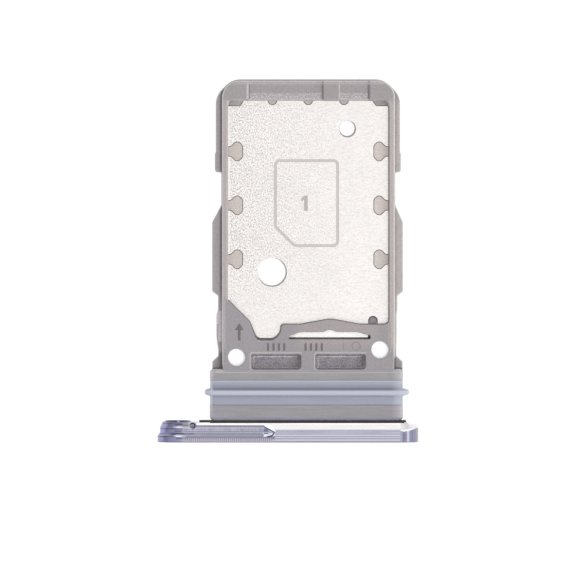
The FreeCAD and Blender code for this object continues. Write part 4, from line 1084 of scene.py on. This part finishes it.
def painted_hole_crescent(name, x, y, radius, levels, width, finish):
    """Crescent in a hole, widest at the lower right: pale painted light in the near bar's holes, painted
    shade in the plate's holes.

    A point is on the hole's wall, or on a smaller circle that touches the wall at the upper
    left. The crescent is closed above and below.
    """
    turn = np.linspace(0, math.tau, 49)[:-1]
    ring = np.stack([np.cos(turn), np.sin(turn)], 1)
    inner_radius = radius - width / 2
    inner_middle = np.array([-1, 1]) / math.sqrt(2) * (width / 2 - CRESCENT_THINNEST)
    wall = ring * (radius + CRESCENT_OVERLAP)
    inner = ring * inner_radius + inner_middle
    rows = np.stack([wall, inner, inner, wall])
    heights = np.repeat([levels[1], levels[0]], 2)
    grid = np.concatenate([rows + (x, y), np.broadcast_to(heights[:, None, None], rows.shape[:2] + (1,))], 2)
    faces = grid_faces(len(rows), len(turn), True, True)[:, ::-1]
    mesh_piece(name, grid.reshape(-1, 3), faces, finish)


pad_seams()
for name, (x, y) in zip(("left_bar_hole_light", "right_bar_hole_light"), BAR_HOLES):
    painted_hole_crescent(name, x, y, BAR_HOLE_RADIUS, BAR_CRESCENT_LEVELS, BAR_CRESCENT_WIDTH, PAINTED_HOLE_LIGHT)
for name, (x, y, radius), width in zip(("large_hole_shade", "small_hole_shade"), PLATE_HOLES, PLATE_CRESCENT_WIDTHS):
    painted_hole_crescent(name, x, y, radius, PLATE_CRESCENT_LEVELS, width, HOLE_SHADE)


# Stage

CAMERA_LENS = 400
SENSOR = 36
PICTURE_WIDTH = 32.0
PICTURE_MIDDLE = (0.0056, 8.572)
FOCUS_HEIGHT = 0.5
LIGHT_TARGET_Y = 8.6
LIGHT_DISTANCE = 0.5
FLOOR_REACH = 900.0
FLOOR_GAP = 0.002


def floor():
    """Plain white floor that the tray lies on, seen only from above."""
    level = CAP_BOTTOM - FLOOR_GAP
    signs = ((-1, -1), (1, -1), (1, 1), (-1, 1))
    corners = [(x * FLOOR_REACH, y * FLOOR_REACH, level) for x, y in signs]
    f = Finish("floor_white", 0.8)
    glow = {"Base Color": (0.05, 0.05, 0.05, 1), "Emission Color": (1, 1, 1, 1), "Emission Strength": 0.97}
    for name, value in glow.items():
        f.put(f.surface.inputs[name], value)
    below = f.node("ShaderNodeNewGeometry").outputs["Backfacing"]
    clear = f.node("ShaderNodeBsdfTransparent").outputs[0]
    either = f.node("ShaderNodeMixShader", {0: below, 1: f.surface.outputs[0], 2: clear})
    f.put(f.output.inputs["Surface"], either.outputs[0])
    plane = meshed("floor", corners, [(0, 1, 2, 3)], f.material)


def soft_box(name, direction, width, height, radiance):
    """Area light that faces the tray: its sizes are in metres, and its radiance sets its power."""
    light = bpy.data.lights.new(name, "AREA")
    light.shape = "RECTANGLE"
    light.size = width
    light.size_y = height
    light.energy = radiance * math.pi * width * height
    lamp = placed(name, light)
    toward = Vector(direction).normalized()
    lamp.location = toward * LIGHT_DISTANCE + Vector((0, LIGHT_TARGET_Y * MM, 0))
    lamp.rotation_euler = toward.to_track_quat("Z", "Y").to_euler()


def tent():
    """White tent: brighter at the lower right and overhead, darker at the upper left.

    Each glow is a direction, the cosine where it starts, and its strength there and in its middle.
    """
    glows = (((0.62, -0.60, 0.50), -1.0, 0.30, 1.49), ((0, 0, 1), 0.80, 0.0, 0.36))
    world = bpy.data.worlds.new("tent")
    bpy.context.scene.world = world
    sky = Nodes(world)
    seen = sky.node("ShaderNodeTexCoord").outputs["Generated"]
    strengths = []
    for direction, start, low, high in glows:
        ends = {0: seen, 1: Vector(direction).normalized()}
        cosine = sky.node("ShaderNodeVectorMath", ends, "DOT_PRODUCT").outputs["Value"]
        strengths.append(sky.ramp(cosine, start, 1.0, low, high))
    background = sky.node("ShaderNodeBackground", {"Strength": sky.math("ADD", *strengths)})
    sky.node("ShaderNodeOutputWorld", {"Surface": background.outputs[0]})


def camera():
    """Camera straight above the tray, with a long lens."""
    data = bpy.data.cameras.new("camera")
    data.lens = CAMERA_LENS
    data.sensor_width = SENSOR
    data.clip_start = 0.01
    data.clip_end = 10
    eye = placed("camera", data)
    distance = PICTURE_WIDTH * CAMERA_LENS / SENSOR
    eye.location = Vector((*PICTURE_MIDDLE, distance + FOCUS_HEIGHT)) * MM
    bpy.context.scene.camera = eye


floor()
tent()
soft_box("far_strip", (0, 0.866, 0.5), width=0.6, height=0.12, radiance=0.6)
soft_box("right_strip", (0.8, -0.1, 0.58), width=0.06, height=0.4, radiance=0.35)
camera()
bpy.context.scene.view_settings.view_transform = "Standard"
